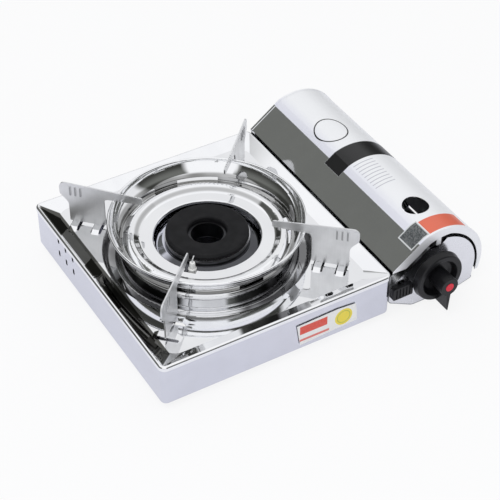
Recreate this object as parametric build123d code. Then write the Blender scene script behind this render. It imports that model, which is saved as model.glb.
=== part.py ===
from build123d import *
import os
from math import asin, atan2, cos, degrees, hypot, radians, sin, sqrt, tan

# Portable table stove that burns a 67 mm gas cartridge: a low pressed-steel burner box, a lift-out
# ring dish with four lift-out pan supports round an open ring burner, and a cartridge bay on the
# right under a hinged half-round cover. Millimetres. X runs right towards the cartridge bay, Y runs
# back, Z up. Pieces are drawn from the front left corner of the burner box and the table it stands
# on, and are moved to the middle of the whole stove when they are written.

# ---- driving sizes: sheet and burner box ----
SHEET = 0.8
BODY_WIDTH = 210.0
BODY_DEPTH = 229.0
CORNER_RADIUS = 6.0
FOOT_HEIGHT = 6.8
SIDE_HEIGHT = 40.2
SKIRT_DEPTH = 4.2
SKIRT_EDGE_RADIUS = 2.0
PAN_EDGE_RADIUS = 2.4
BORDER_LAND = 2.4
BORDER_WIDTH = 13.7
BORDER_DROP = 5.2
RECESS_CORNER = 12.0
VENT_COLUMNS = 3
VENT_ROWS = 2
VENT_PITCH = 13.5
VENT_FIRST_Y = 156.0
VENT_LOW_Z = 26.0
VENT_LENGTH = 6.0
VENT_WIDTH = 3.0
FLOOR_VENTS = 10
FLOOR_VENT_RADIUS = 62.0
FLOOR_VENT_LENGTH = 22.0
FLOOR_VENT_WIDTH = 6.0
FOOT_INSET = 17.0
FOOT_RADIUS = 9.0
FOOT_TAPER = 1.5
SCREW_RADIUS = 1.8
SCREW_HEAD_RADIUS = 3.4
SCREW_HEAD_HEIGHT = 2.0
SCREW_CLEARANCE = 0.2
NUT_RADIUS = 3.2
NUT_HEIGHT = 2.4
RIVET_RADIUS = 1.5
RIVET_HEAD_RADIUS = 3.0
RIVET_HEAD_HEIGHT = 1.2
RIVET_HEIGHT = 33.0
RIVET_PLACES = (62.0, 122.0, 182.0)

# ---- driving sizes: burner, well and ring dish ----
BURNER_X = 103.5
BURNER_Y = 114.0
WELL_EDGE_RADIUS = 88.0
WELL_LAND = 2.5
WELL_DEPTH = 6.6
WELL_WALL_RUN = 3.0
GROOVE_WIDTH = 7.9
BOSS_RISE = 10.0
BOSS_WALL_RUN = 2.2
OPENING_GAP = 3.1
OPENING_LIP = 3.0
SEAT_GAP = 0.05
DISH_HOLE_REACH = 3.1
DISH_FLAT_RADIUS = 55.6
DISH_RIDGE_HEIGHT = 3.6
DISH_BASE_RADIUS = 71.9
DISH_RIM_RADIUS = 80.2
DISH_HEIGHT = 17.6
DISH_BEAD_RADIUS = 1.1
DISH_LIP = 1.6
DISH_NOTCH_DEPTH = 4.5
DISH_NOTCH_WIDTH = 10.0
SLOT_COUNT = 8
SLOT_ANGLE = 28.0
SLOT_HEIGHT = 3.6
SLOT_RAISE = 0.6

# ---- driving sizes: burner ----
CAP_RADIUS = 34.3
CAP_HOLE_RADIUS = 16.2
CAP_THICKNESS = 4.6
CAP_RISE = 6.9
CAP_SKIRT = 3.0
CAP_SKIRT_WALL = 2.4
PORT_COUNT = 36
PORT_WIDTH = 1.4
PORT_DEPTH = 1.8
PORT_HEIGHT = 1.2
BOWL_WALL = 2.2
BOWL_RIM_PROUD = 0.9
BOWL_RIM_STEP = 0.6
BOWL_DEPTH = 15.0
NECK_RADIUS = 6.2
NECK_REACH = 21.4
NECK_BORE = 4.6
NECK_CLEARANCE = 0.6
SOCKET_WALL = 2.0
SOCKET_LENGTH = 16.6
TUBE_RADIUS = 7.5
TUBE_WALL = 1.0
TUBE_AXIS_HEIGHT = 24.0
TUBE_ANGLE = -36.8
MOUTH_WALL_GAP = 14.4
MOUTH_RADIUS = 9.5
MOUTH_LENGTH = 12.0
TRAY_LAND_REACH = 1.8
TRAY_WALL_RUN = 6.0
TRAY_DROP = 2.3
TRAY_LIP = 3.0
LEDGE_DROP = 5.0
LEDGE_REACH = 1.6
LEDGE_HEIGHT = 1.2
BRACKET_INNER = 14.8
BRACKET_OUTER = 27.0
BRACKET_LEG_WIDTH = 10.0
BRACKET_LEG_ANGLES = (60.0, 180.0, 300.0)
BURNER_SCREW_REACH = 20.0
BURNER_SCREW_BITE = 1.8
SHUTTER_LENGTH = 4.0
SHUTTER_WINDOWS = 4
JET_RADIUS = 3.2
JET_LENGTH = 9.0
JET_NOSE = 2.5
JET_REACH = 3.0
JET_BORE = 0.3
PIPE_RADIUS = 2.0
PIPE_BEND = 6.0
WALL_HOLE_CLEARANCE = 2.0
ELECTRODE_ANGLE = 224.0
ELECTRODE_GAP = 5.8
ELECTRODE_ARM_EDGE = 1.6
CERAMIC_RADIUS = 2.6
CERAMIC_COLLAR_RADIUS = 3.5
CERAMIC_BOTTOM = 30.0
CERAMIC_TOP = 57.0
ELECTRODE_RADIUS = 0.7
ELECTRODE_RISE = 2.4
LEAD_RADIUS = 1.25
LEAD_HEIGHT = 12.0

# ---- driving sizes: pan supports ----
SUPPORT_COUNT = 4
SUPPORT_FIRST_ANGLE = 45.0
BLADE = 1.2
TIP_RADIUS = 54.6
TIP_DEPTH = 6.2
SUPPORT_TOP = 83.5
TIP_TOP_DROP = 4.4
EAR_OVERHANG = 7.4
EAR_DEPTH = 12.0
EAR_NECK = 8.0
LEG_INNER_EDGE = 6.5
LEG_OUTER_EDGE = 5.6
ARM_CLEARANCE = 1.2
LUG_INSET = 6.0
LUG_SPACING = 19.0
LUG_WIDTH = 6.0
LUG_HALF_SPAN = 11.5
LUG_CREST_HALF = 7.5
LUG_RISE = 2.4
LUG_WINDOW_HALF = 9.5
LUG_SLIT = 1.4
TAB_WIDTH = 3.0
TAB_REACH = 4.6
TAB_CLEARANCE = 0.2
TOOTH_COUNT = 7
TOOTH_PITCH = 2.4
TOOTH_DEPTH = 0.8
RIB_COUNT = 3
RIB_PITCH = 4.4
RIB_HEIGHT = 9.0
RIB_PROUD = 0.5
RIB_DROP = 3.5
RIB_WIDTH = 1.8

# ---- driving sizes: cartridge bay and cover ----
CARTRIDGE_RADIUS = 33.5
CARTRIDGE_X = 257.8
CARTRIDGE_FLOOR_GAP = 0.3
BAY_FLOOR_HEIGHT = 1.7
BAY_FLOOR_HALF = 24.0
BAY_LEFT_DROP = 31.0
BAY_BENDS = [5.0, 9.0, 9.0, 1.2]
BAY_EDGE_DROP = 1.8
ARC_HEIGHT = 28.3
COVER_RADIUS = 43.5
COVER_GAP = 2.0
COVER_FRONT = 3.2
COVER_END_GAP = 1.0
FLANK_TOP_X = 241.5
COVER_LIP = 1.6
FRONT_LIP_LEFT = 3.7
FRONT_LIP_DOWN = 5.3
FRONT_LIP_FLANK = 8.8
ROLL_PROUD = 0.4
ROLL_WIDTH = 2.0
TONGUE_X = 255.5
TONGUE_WIDTH = 4.4
TONGUE_LOW = 57.5
COVER_HOLE_RADIUS = 11.3
COVER_HOLE_Y = 40.5
HINGE_X = 296.0
HINGE_HEIGHT = 9.5
HINGE_PIN_RADIUS = 1.5
HINGE_CLEARANCE = 0.05
KNUCKLE_COUNT = 7
KNUCKLE_GAP = 0.4
HINGE_END_GAP = 6.0
EYE_CLEARANCE = 1.2
PANEL_INSET = 6.1
PANEL_DROP = 4.1
PANEL_FLANK_INSET = 12.5
PANEL_FLANGE = 8.0
FLANGE_LOW = 25.0
PANEL_SHAFT_CLEARANCE = 1.0
CATCH_NOTCH = ((247.5, 55.0), (257.0, 55.0), (266.5, 63.0), (266.5, 75.0), (247.5, 75.0))
BACK_PANEL_INSET = 4.0
BACK_PANEL_FLANK_INSET = 3.0

# ---- driving sizes: controls ----
KNOB_X = 250.0
KNOB_HEIGHT = 33.8
KNOB_RADIUS = 22.8
KNOB_SKIRT = 7.2
KNOB_LEVER_GAP = 2.1
KNOB_TAPER = 1.2
KNOB_RIM_WALL = 6.0
KNOB_RECESS = 5.2
KNOB_RECESS_SLOPE = 3.0
KNOB_BOSS_RADIUS = 8.3
KNOB_BOSS_HEIGHT = 19.8
POINTER_REACH = 24.8
POINTER_ROOT_WIDTH = 5.0
POINTER_TIP_WIDTH = 0.9
DOT_RADIUS = 3.8
DOT_PROUD = 0.4
DOT_DEPTH = 1.0
SPINDLE_RADIUS = 3.0
SPINDLE_REACH = 8.0
SPINDLE_SOCKET = 11.0
LEVER_WIDTH = 19.0
LEVER_HEIGHT = 11.5
LEVER_THICKNESS = 4.2
LEVER_GAP = 0.3
LEVER_BOTTOM = 19.4
LEVER_TRAVEL = 8.0
LEVER_STEM = 5.0
STEM_CLEARANCE = 0.5
LEVER_GROOVE = 1.2
LEVER_GROOVE_DEPTH = 0.7
STEM_SLOT_TOP = 3.6
CAM_FRONT = 13.0
CAM_BACK = 26.0
GUIDE_CLEARANCE = 0.2
GUIDE_WIDTH = 2.0
GUIDE_HEIGHT = 4.0
GUIDE_MARGIN = 1.5
LEVER_RIBS = 6
REGULATOR_BACK = 33.0
REGULATOR_FRONT = 13.0
REGULATOR_LEFT = 17.0
REGULATOR_RIGHT = 22.0
REGULATOR_UNDER = 12.0
REGULATOR_OVER = 14.0
INLET_RADIUS = 4.2
INLET_BORE = 1.0
INLET_LENGTH = 7.0
INLET_FLANGE = 1.2
INLET_SHOULDER = 2.0
INLET_BOSS_RADIUS = 10.0
INLET_BOSS_LENGTH = 3.0
SEAL_RADIUS = 6.4
SEAL_LENGTH = 2.4
DIAPHRAGM_RADIUS = 10.0
DIAPHRAGM_HEIGHT = 6.0
IGNITER_HALF = 13.0
IGNITER_OVER = 13.0
IGNITER_UNDER = 11.0
HOLDER_GAP = 11.5
HOLDER_SHEET = 1.2
HOLDER_HALF = 18.0
HOLDER_TRAVEL = 5.0
HOLDER_RISE = 20.0
HOLDER_THROAT = 14.0
LINK_PIN_RADIUS = 1.2
LINK_CLEARANCE = 0.15
LINK_PIN_Y = 20.0
LINK_PIN_Z = 35.0
CRADLE_LENGTH = 8.0
CRADLE_HALF = 20.0
CRADLE_HEIGHT = 7.0
CRADLE_FRONT_Y = 80.0
CRADLE_REAR_Y = 180.0


# ---- sizes worked out from those above ----
PAN_BOTTOM = FOOT_HEIGHT
PLATE_TOP = FOOT_HEIGHT + SIDE_HEIGHT
RECESS_TOP = PLATE_TOP - BORDER_DROP
RECESS_MIDDLE = RECESS_TOP - SHEET / 2
GROOVE_MIDDLE = RECESS_MIDDLE - WELL_DEPTH
GROOVE_OUTER = WELL_EDGE_RADIUS - WELL_LAND - WELL_WALL_RUN
GROOVE_INNER = GROOVE_OUTER - GROOVE_WIDTH
BOSS_MIDDLE = RECESS_MIDDLE + BOSS_RISE
BOSS_RADIUS = GROOVE_INNER - BOSS_WALL_RUN
ELECTRODE_REACH = CAP_RADIUS + BOWL_RIM_PROUD + ELECTRODE_GAP
BURNER_OPENING_RADIUS = ELECTRODE_REACH + CERAMIC_COLLAR_RADIUS + OPENING_GAP
DISH_HOLE_RADIUS = BURNER_OPENING_RADIUS - DISH_HOLE_REACH
DISH_NOTCH_RADIUS = DISH_HOLE_RADIUS + DISH_NOTCH_DEPTH
DISH_MIDDLE = BOSS_MIDDLE + SHEET + SEAT_GAP
DISH_RIM_MIDDLE = DISH_MIDDLE + DISH_HEIGHT
DISH_TOP = DISH_RIM_MIDDLE + DISH_BEAD_RADIUS
PAN_INSET = SHEET
PAN_TOP = PLATE_TOP - SKIRT_EDGE_RADIUS
WALL_OUTER_X = BODY_WIDTH - PAN_INSET
CAP_TOP = BOSS_MIDDLE + CAP_RISE
CAP_BOTTOM = CAP_TOP - CAP_THICKNESS
BOWL_RIM = CAP_BOTTOM
BOWL_BOTTOM = BOWL_RIM - BOWL_DEPTH
LUG_CREST = RECESS_MIDDLE + LUG_RISE + SHEET / 2
FOOT_SEAT = PAN_BOTTOM / 2
BRACKET_UNDER = BOWL_BOTTOM - SHEET
TRAY_LAND = CAP_RADIUS + BOWL_RIM_PROUD + TRAY_LAND_REACH
TRAY_RADIUS = TRAY_LAND + TRAY_WALL_RUN
BURNER_SCREWS = (
    (TUBE_ANGLE + 90, BRACKET_UNDER),
    (TUBE_ANGLE + 180, BRACKET_UNDER),
    (ELECTRODE_ANGLE, BRACKET_UNDER - SHEET),
)
TUBE_START = NECK_REACH + 4
MOUTH_END = (WALL_OUTER_X - SHEET - MOUTH_WALL_GAP - BURNER_X) / cos(radians(TUBE_ANGLE))
JET_START = MOUTH_END - JET_REACH
JET_END = JET_START + JET_LENGTH
LEDGE_TOP = BOWL_RIM - LEDGE_DROP
LUG_INNER = WELL_EDGE_RADIUS + LUG_INSET
LUG_OUTER = LUG_INNER + LUG_SPACING
LEG_INNER = LUG_INNER - LEG_INNER_EDGE
LEG_OUTER = LUG_OUTER + LEG_OUTER_EDGE
EAR_RADIUS = LEG_OUTER + EAR_OVERHANG
LEG_BOTTOM = LUG_CREST + SEAT_GAP
BAY_FLOOR_TOP = BAY_FLOOR_HEIGHT + SHEET
CARTRIDGE_HEIGHT = BAY_FLOOR_TOP + CARTRIDGE_FLOOR_GAP + CARTRIDGE_RADIUS
COVER_BACK = BODY_DEPTH - COVER_END_GAP
FREE_EDGE_X = BODY_WIDTH + COVER_GAP
FLANK_TOP_Z = ARC_HEIGHT + sqrt(COVER_RADIUS**2 - (FLANK_TOP_X - CARTRIDGE_X) ** 2)
FLANK_ANGLE = atan2(FLANK_TOP_Z - PLATE_TOP, FLANK_TOP_X - FREE_EDGE_X)
KNUCKLE_BORE = HINGE_PIN_RADIUS + HINGE_CLEARANCE
KNUCKLE_OUTER = KNUCKLE_BORE + SHEET
KNUCKLE_MIDDLE = KNUCKLE_BORE + SHEET / 2
PANEL_FRONT = COVER_FRONT + 0.2
LEVER_BACK = PANEL_FRONT - LEVER_GAP
LEVER_FRONT = LEVER_BACK - LEVER_THICKNESS
KNOB_BACK = LEVER_FRONT - KNOB_LEVER_GAP
KNOB_FRONT = KNOB_BACK - KNOB_BOSS_HEIGHT
STOVE_RIGHT = CARTRIDGE_X + COVER_RADIUS + ROLL_PROUD
BAY_LEFT_X = WALL_OUTER_X + SHEET / 2
BAY_LEFT_TOP = PLATE_TOP - SKIRT_DEPTH - 1.0
BAY_LEFT_KNEE = BAY_LEFT_TOP - BAY_LEFT_DROP + 4.0
BAY_FLOOR_MIDDLE = BAY_FLOOR_HEIGHT + SHEET / 2
BAY_FLOOR_LEFT = CARTRIDGE_X - BAY_FLOOR_HALF
BAY_FLOOR_RIGHT = CARTRIDGE_X + BAY_FLOOR_HALF
BAY_EDGE_X = HINGE_X - KNUCKLE_MIDDLE - 0.6
BAY_EDGE_TOP = HINGE_HEIGHT - KNUCKLE_OUTER
BAY_BACK = COVER_BACK - 1.0
PANEL_BACK = PANEL_FRONT + SHEET
INLET_FRONT = REGULATOR_BACK + INLET_BOSS_LENGTH
HOLDER_FRONT = REGULATOR_BACK + HOLDER_GAP
LEVER_LEFT = BODY_WIDTH + 1.0
STEM_X = LEVER_LEFT + LEVER_WIDTH / 2
STEM_Z = LEVER_BOTTOM + LEVER_HEIGHT / 2
FAR = 4 * COVER_RADIUS
FRAME_X = STOVE_RIGHT / 2
FRAME_Y = (KNOB_FRONT - DOT_PROUD + BODY_DEPTH) / 2


# ---- shared shapes ----
def block(x0, x1, y0, y1, z0, z1):
    """Box between two opposite corners."""
    return Pos(x0, y0, z0) * Box(x1 - x0, y1 - y0, z1 - z0, align=(Align.MIN,) * 3)


def rounded_block(x0, x1, y0, y1, z0, z1, radius):
    """Box with rounded upright edges."""
    solid = block(x0, x1, y0, y1, z0, z1)
    return fillet(solid.edges().filter_by(Axis.Z), radius)


def rod(radius, start, end):
    """Round bar from start to end."""
    run = Vector(*end) - Vector(*start)
    return extrude(Plane(origin=start, z_dir=run) * Circle(radius), run.length)


def tube(radius, bore, start, end):
    """Round tube from start to end."""
    run = Vector(*end) - Vector(*start)
    return extrude(Plane(origin=start, z_dir=run) * (Circle(radius) - Circle(bore)), run.length)


def outline(points, radii=0):
    """Closed face in local XY with rounded corners."""
    corners = radii if isinstance(radii, list) else [radii] * len(points)
    return make_face(FilletPolyline(*points, radius=corners, close=True))


def turned(section):
    """Section in radius and height, turned about the upright axis of the burner."""
    return Pos(BURNER_X, BURNER_Y, 0) * revolve(Plane.XZ * section, Axis.Z)


def sheet_path(points, radii):
    """Section of a sheet of one thickness along a path with rounded bends."""
    return trace(FilletPolyline(*points, radius=radii), SHEET)


def along_y(section, y0, y1):
    """Section in X and Z, drawn out from y0 to y1."""
    return Pos(0, y1, 0) * extrude(Plane.XZ * section, y1 - y0)


def aimed(angle):
    """Turn about the burner's axis, with local X pointing out at the angle."""
    return Pos(BURNER_X, BURNER_Y, 0) * Rot(0, 0, angle)


def on_ring(index, count, first):
    """One of count equal places round the burner's axis."""
    return aimed(first + 360 * index / count)


def burner_point(reach, angle, height):
    """Point at a reach and an angle from the burner's axis."""
    x = BURNER_X + reach * cos(radians(angle))
    y = BURNER_Y + reach * sin(radians(angle))
    return (x, y, height)


def bent_rod(radius, points, bends):
    """Round bar or wire along a path with rounded bends."""
    path = FilletPolyline(*points, radius=bends)
    return sweep(Plane(origin=path @ 0, z_dir=path % 0) * Circle(radius), path)


written = []


def save(node, part):
    """Writes one sub-part about the middle of the whole stove."""
    export_step(Pos(-FRAME_X, -FRAME_Y, 0) * part, f"parts/{node}.step")
    written.append(node)


# ---- burner box ----
def foot_places():
    """Centres of the four feet."""
    return [
        (name, x, y)
        for name, x, y in (
            ("front_left", FOOT_INSET, FOOT_INSET),
            ("front_right", BODY_WIDTH - FOOT_INSET, FOOT_INSET),
            ("rear_left", FOOT_INSET, BODY_DEPTH - FOOT_INSET),
            ("rear_right", BODY_WIDTH - FOOT_INSET, BODY_DEPTH - FOOT_INSET),
        )
    ]


def base_pan():
    """Open drawn pan: floor, four walls, side vents, floor vents and the holes for feet and pipe."""
    outer = rounded_block(
        PAN_INSET, WALL_OUTER_X, PAN_INSET, BODY_DEPTH - PAN_INSET,
        PAN_BOTTOM, PAN_TOP, CORNER_RADIUS - PAN_INSET,
    )
    outer = fillet(outer.edges().group_by(Axis.Z)[0], PAN_EDGE_RADIUS)
    inset = PAN_INSET + SHEET
    inner = rounded_block(
        inset, BODY_WIDTH - inset, inset, BODY_DEPTH - inset,
        PAN_BOTTOM + SHEET, PLATE_TOP, CORNER_RADIUS - inset,
    )
    inner = fillet(inner.edges().group_by(Axis.Z)[0], PAN_EDGE_RADIUS - SHEET)
    pan = outer - inner
    slot = extrude(Plane.YZ * SlotOverall(VENT_LENGTH, VENT_WIDTH, 90), 4 * inset)
    for column in range(VENT_COLUMNS):
        for row in range(VENT_ROWS):
            y = VENT_FIRST_Y + column * VENT_PITCH
            pan -= Pos(-inset, y, VENT_LOW_Z + row * VENT_PITCH) * slot
    floor_slot = extrude(SlotOverall(FLOOR_VENT_LENGTH, FLOOR_VENT_WIDTH, 90), 4 * SHEET)
    for index in range(FLOOR_VENTS):
        place = on_ring(index, FLOOR_VENTS, 0) * Pos(FLOOR_VENT_RADIUS, 0, PAN_BOTTOM - SHEET)
        pan -= place * floor_slot
    for _, x, y in foot_places():
        radius = SCREW_RADIUS + SCREW_CLEARANCE
        pan -= rod(radius, (x, y, PAN_BOTTOM - 1), (x, y, PAN_BOTTOM + 2))
    return pan - wall_holes()


def border_pocket(lowered):
    """Sloping-sided pocket that leaves the raised border of the top plate."""
    middle = Pos(BODY_WIDTH / 2, BODY_DEPTH / 2)
    top = RectangleRounded(
        BODY_WIDTH - 2 * BORDER_LAND, BODY_DEPTH - 2 * BORDER_LAND, CORNER_RADIUS - BORDER_LAND
    )
    floor = RectangleRounded(
        BODY_WIDTH - 2 * BORDER_WIDTH, BODY_DEPTH - 2 * BORDER_WIDTH, RECESS_CORNER
    )
    pocket = loft([Pos(0, 0, RECESS_TOP) * middle * floor, Pos(0, 0, PLATE_TOP) * middle * top])
    pocket += Pos(0, 0, PLATE_TOP) * middle * extrude(top, 2)
    return Pos(0, 0, -lowered) * pocket


def lug_bridge(radius):
    """Strap pressed up out of the plate, with a slot in its crest for a support's tab."""
    path = [
        (-LUG_HALF_SPAN, RECESS_MIDDLE),
        (-LUG_CREST_HALF, RECESS_MIDDLE + LUG_RISE),
        (LUG_CREST_HALF, RECESS_MIDDLE + LUG_RISE),
        (LUG_HALF_SPAN, RECESS_MIDDLE),
    ]
    strap = along_y(sheet_path(path, [1.5, 1.5]), -LUG_WIDTH / 2, LUG_WIDTH / 2)
    strap = Pos(radius, 0, 0) * Rot(0, 0, 90) * strap
    slot = block(
        radius - TAB_WIDTH / 2 - TAB_CLEARANCE, radius + TAB_WIDTH / 2 + TAB_CLEARANCE,
        -BLADE / 2 - TAB_CLEARANCE, BLADE / 2 + TAB_CLEARANCE,
        RECESS_TOP, LUG_CREST + 1,
    )
    return strap - slot


def lug_window(radius):
    """Opening in the plate under a lug's strap and along its two slits."""
    half = LUG_WIDTH / 2 + LUG_SLIT
    return block(
        radius - half, radius + half, -LUG_WINDOW_HALF, LUG_WINDOW_HALF,
        RECESS_TOP - 3 * SHEET, RECESS_TOP + SHEET,
    )


def top_plate():
    """Drawn plate: skirt, sloping border, spill recess, well with a raised seat, and eight lugs."""
    inset = 2 * SHEET
    lowest = RECESS_TOP - 2 * SHEET
    skirt = rounded_block(
        0, BODY_WIDTH, 0, BODY_DEPTH, PLATE_TOP - SKIRT_DEPTH, PLATE_TOP, CORNER_RADIUS
    )
    skirt = fillet(skirt.edges().group_by(Axis.Z)[-1], SKIRT_EDGE_RADIUS)
    core = rounded_block(
        inset, BODY_WIDTH - inset, inset, BODY_DEPTH - inset,
        lowest, PLATE_TOP - inset, CORNER_RADIUS - inset,
    )
    upper = skirt + core - border_pocket(0)
    under = rounded_block(
        SHEET, BODY_WIDTH - SHEET, SHEET, BODY_DEPTH - SHEET,
        lowest - 1, PLATE_TOP - SHEET, CORNER_RADIUS - SHEET,
    )
    under = fillet(under.edges().group_by(Axis.Z)[-1], SKIRT_EDGE_RADIUS - SHEET)
    plate = upper - (under - border_pocket(SHEET))
    plate -= Pos(BURNER_X, BURNER_Y, RECESS_TOP) * Cylinder(WELL_EDGE_RADIUS, 4 * SHEET)
    well = sheet_path(
        [
            (WELL_EDGE_RADIUS, RECESS_MIDDLE),
            (WELL_EDGE_RADIUS - WELL_LAND, RECESS_MIDDLE),
            (GROOVE_OUTER, GROOVE_MIDDLE),
            (GROOVE_INNER, GROOVE_MIDDLE),
            (BOSS_RADIUS, BOSS_MIDDLE),
            (BURNER_OPENING_RADIUS, BOSS_MIDDLE),
            (BURNER_OPENING_RADIUS, BOSS_MIDDLE - OPENING_LIP),
        ],
        [1.6, 2.2, 2.2, 2.2, 1.2],
    )
    plate += turned(well)
    for index in range(SUPPORT_COUNT):
        place = on_ring(index, SUPPORT_COUNT, SUPPORT_FIRST_ANGLE)
        for radius in (LUG_INNER, LUG_OUTER):
            plate -= place * lug_window(radius)
            plate += place * lug_bridge(radius)
    return plate


def foot(x, y):
    """Moulded foot: a short cone frustum with a hole and a recess for its screw."""
    profile = outline(
        [(0, 0), (FOOT_RADIUS - FOOT_TAPER, 0), (FOOT_RADIUS, PAN_BOTTOM), (0, PAN_BOTTOM)],
        [0, 1.2, 0, 0],
    )
    body = revolve(Plane.XZ * profile, Axis.Z)
    body -= rod(SCREW_HEAD_RADIUS + SCREW_CLEARANCE, (0, 0, -1), (0, 0, FOOT_SEAT))
    body -= rod(SCREW_RADIUS, (0, 0, 0), (0, 0, PAN_BOTTOM + 1))
    return Pos(x, y, 0) * body


def foot_screws():
    """One screw up through each foot, its nut inside the pan."""
    screws = []
    for _, x, y in foot_places():
        nut_seat = PAN_BOTTOM + SHEET
        screw = rod(SCREW_RADIUS, (x, y, FOOT_SEAT), (x, y, nut_seat + NUT_HEIGHT + 1))
        screw += rod(SCREW_HEAD_RADIUS, (x, y, FOOT_SEAT - SCREW_HEAD_HEIGHT), (x, y, FOOT_SEAT))
        screw += extrude(Pos(x, y, nut_seat) * RegularPolygon(NUT_RADIUS, 6), NUT_HEIGHT)
        screws.append(screw)
    return Compound(children=screws)


# ---- ring dish ----
def ring_dish():
    """Turned dish: flat inner land, pressed ridge, slotted foot wall, bowed wall and beaded rim."""
    ridge_outer = DISH_BASE_RADIUS - 3.3
    ridge_middle = (ridge_outer + DISH_FLAT_RADIUS) / 2
    ridge_top = DISH_MIDDLE + DISH_RIDGE_HEIGHT
    wall_foot = DISH_MIDDLE + SLOT_RAISE + SLOT_HEIGHT + 0.6
    base = sheet_path(
        [
            (DISH_HOLE_RADIUS, DISH_MIDDLE - DISH_LIP - SHEET / 2),
            (DISH_HOLE_RADIUS, DISH_MIDDLE),
            (DISH_FLAT_RADIUS, DISH_MIDDLE),
            (ridge_middle - 1.5, ridge_top),
            (ridge_middle + 1.5, ridge_top),
            (ridge_outer, DISH_MIDDLE),
            (DISH_BASE_RADIUS, DISH_MIDDLE),
            (DISH_BASE_RADIUS + 0.4, wall_foot),
        ],
        [1.0, 4.0, 2.0, 2.0, 2.0, 1.0],
    )
    wall_start = (DISH_BASE_RADIUS + 0.4, wall_foot)
    wall_end = (DISH_RIM_RADIUS, DISH_RIM_MIDDLE)
    bow = (
        (wall_start[0] + wall_end[0]) / 2 + 1.0,
        (wall_start[1] + wall_end[1]) / 2 - 0.7,
    )
    wall = trace(ThreePointArc(wall_start, bow, wall_end), SHEET)
    bead = Pos(DISH_RIM_RADIUS, DISH_RIM_MIDDLE) * Circle(DISH_BEAD_RADIUS)
    joint = Pos(*wall_start) * Circle(SHEET / 2)
    dish = turned(base + joint + wall + bead)
    low = DISH_MIDDLE + SLOT_RAISE
    for index in range(SLOT_COUNT):
        place = on_ring(index, SLOT_COUNT, 180 / SLOT_COUNT)
        dish -= place * slot_cutter(low, low + SLOT_HEIGHT)
    notch = block(
        DISH_HOLE_RADIUS - 3, DISH_NOTCH_RADIUS, -DISH_NOTCH_WIDTH / 2, DISH_NOTCH_WIDTH / 2,
        DISH_MIDDLE - DISH_LIP - 2, DISH_MIDDLE + 2,
    )
    return dish - aimed(ELECTRODE_ANGLE) * notch


def slot_cutter(low, high):
    """Wedge of a ring that cuts one arc slot centred on local X."""
    section = Plane.XZ * (Pos(DISH_BASE_RADIUS, (low + high) / 2) * Rectangle(5, high - low))
    return Rot(0, 0, -SLOT_ANGLE / 2) * revolve(section, Axis.Z, SLOT_ANGLE)


# ---- burner ----
def burner_cap():
    """Cast ring cap with a stepped centre hole and flame ports cut round its skirt."""
    skirt_bottom = CAP_BOTTOM - CAP_SKIRT
    skirt_outer = CAP_RADIUS - BOWL_WALL - 0.2
    skirt_inner = skirt_outer - CAP_SKIRT_WALL
    cap = turned(
        outline(
            [
                (CAP_HOLE_RADIUS, CAP_BOTTOM),
                (CAP_HOLE_RADIUS, CAP_TOP - 1.4),
                (CAP_HOLE_RADIUS + 0.9, CAP_TOP - 0.5),
                (CAP_RADIUS - 1.6, CAP_TOP),
                (CAP_RADIUS, CAP_TOP - 1.4),
                (CAP_RADIUS, CAP_BOTTOM),
                (skirt_outer, CAP_BOTTOM),
                (skirt_outer - 0.4, skirt_bottom),
                (skirt_inner, skirt_bottom),
                (skirt_inner, CAP_BOTTOM),
            ],
            [0, 0.3, 0.3, 0.8, 0.8, 0, 0, 0, 0, 0],
        )
    )
    port = block(
        CAP_RADIUS - PORT_DEPTH, CAP_RADIUS + 1, -PORT_WIDTH / 2, PORT_WIDTH / 2,
        CAP_BOTTOM - 1, CAP_BOTTOM + PORT_HEIGHT,
    )
    for index in range(PORT_COUNT):
        cap -= on_ring(index, PORT_COUNT, 0) * port
    return cap


def burner_bowl():
    """Cast ring channel under the cap with an open middle and a ledge for the tray."""
    outer_rim = CAP_RADIUS + BOWL_RIM_PROUD
    wall_outer = outer_rim - BOWL_RIM_STEP
    inner_rim = CAP_HOLE_RADIUS - 0.4
    bottom_outer = outer_rim - 6.0
    waist = BOWL_BOTTOM + BOWL_DEPTH * 0.4
    ledge_bottom = LEDGE_TOP - LEDGE_HEIGHT
    bowl = turned(
        outline(
            [
                (outer_rim, BOWL_RIM),
                (outer_rim, BOWL_RIM - 1.2),
                (wall_outer, BOWL_RIM - 2.0),
                (wall_outer, LEDGE_TOP),
                (wall_outer + LEDGE_REACH, LEDGE_TOP),
                (wall_outer + LEDGE_REACH, ledge_bottom),
                (wall_outer - 0.4, ledge_bottom),
                (wall_outer - 1.4, waist),
                (bottom_outer, BOWL_BOTTOM),
                (inner_rim - BOWL_WALL, BOWL_BOTTOM),
                (inner_rim - BOWL_WALL, BOWL_RIM),
                (inner_rim, BOWL_RIM),
                (inner_rim, BOWL_BOTTOM + BOWL_WALL),
                (bottom_outer - 0.8, BOWL_BOTTOM + BOWL_WALL),
                (wall_outer - 1.4 - BOWL_WALL, waist),
                (outer_rim - BOWL_WALL - 0.9, BOWL_RIM),
            ],
            [0, 0, 0, 0, 0.4, 0, 0, 3, 3, 1, 0, 0, 2, 2, 2, 0],
        )
    )
    inlet = rod(NECK_BORE, (NECK_REACH, 0, BOWL_BOTTOM - 1), (NECK_REACH, 0, BOWL_BOTTOM + BOWL_WALL + 1))
    bowl -= aimed(TUBE_ANGLE) * inlet
    for angle, _ in BURNER_SCREWS:
        x, y, z = burner_point(BURNER_SCREW_REACH, angle, BOWL_BOTTOM)
        bowl -= rod(RIVET_RADIUS, (x, y, z - 1), (x, y, z + BURNER_SCREW_BITE))
    return bowl


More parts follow.
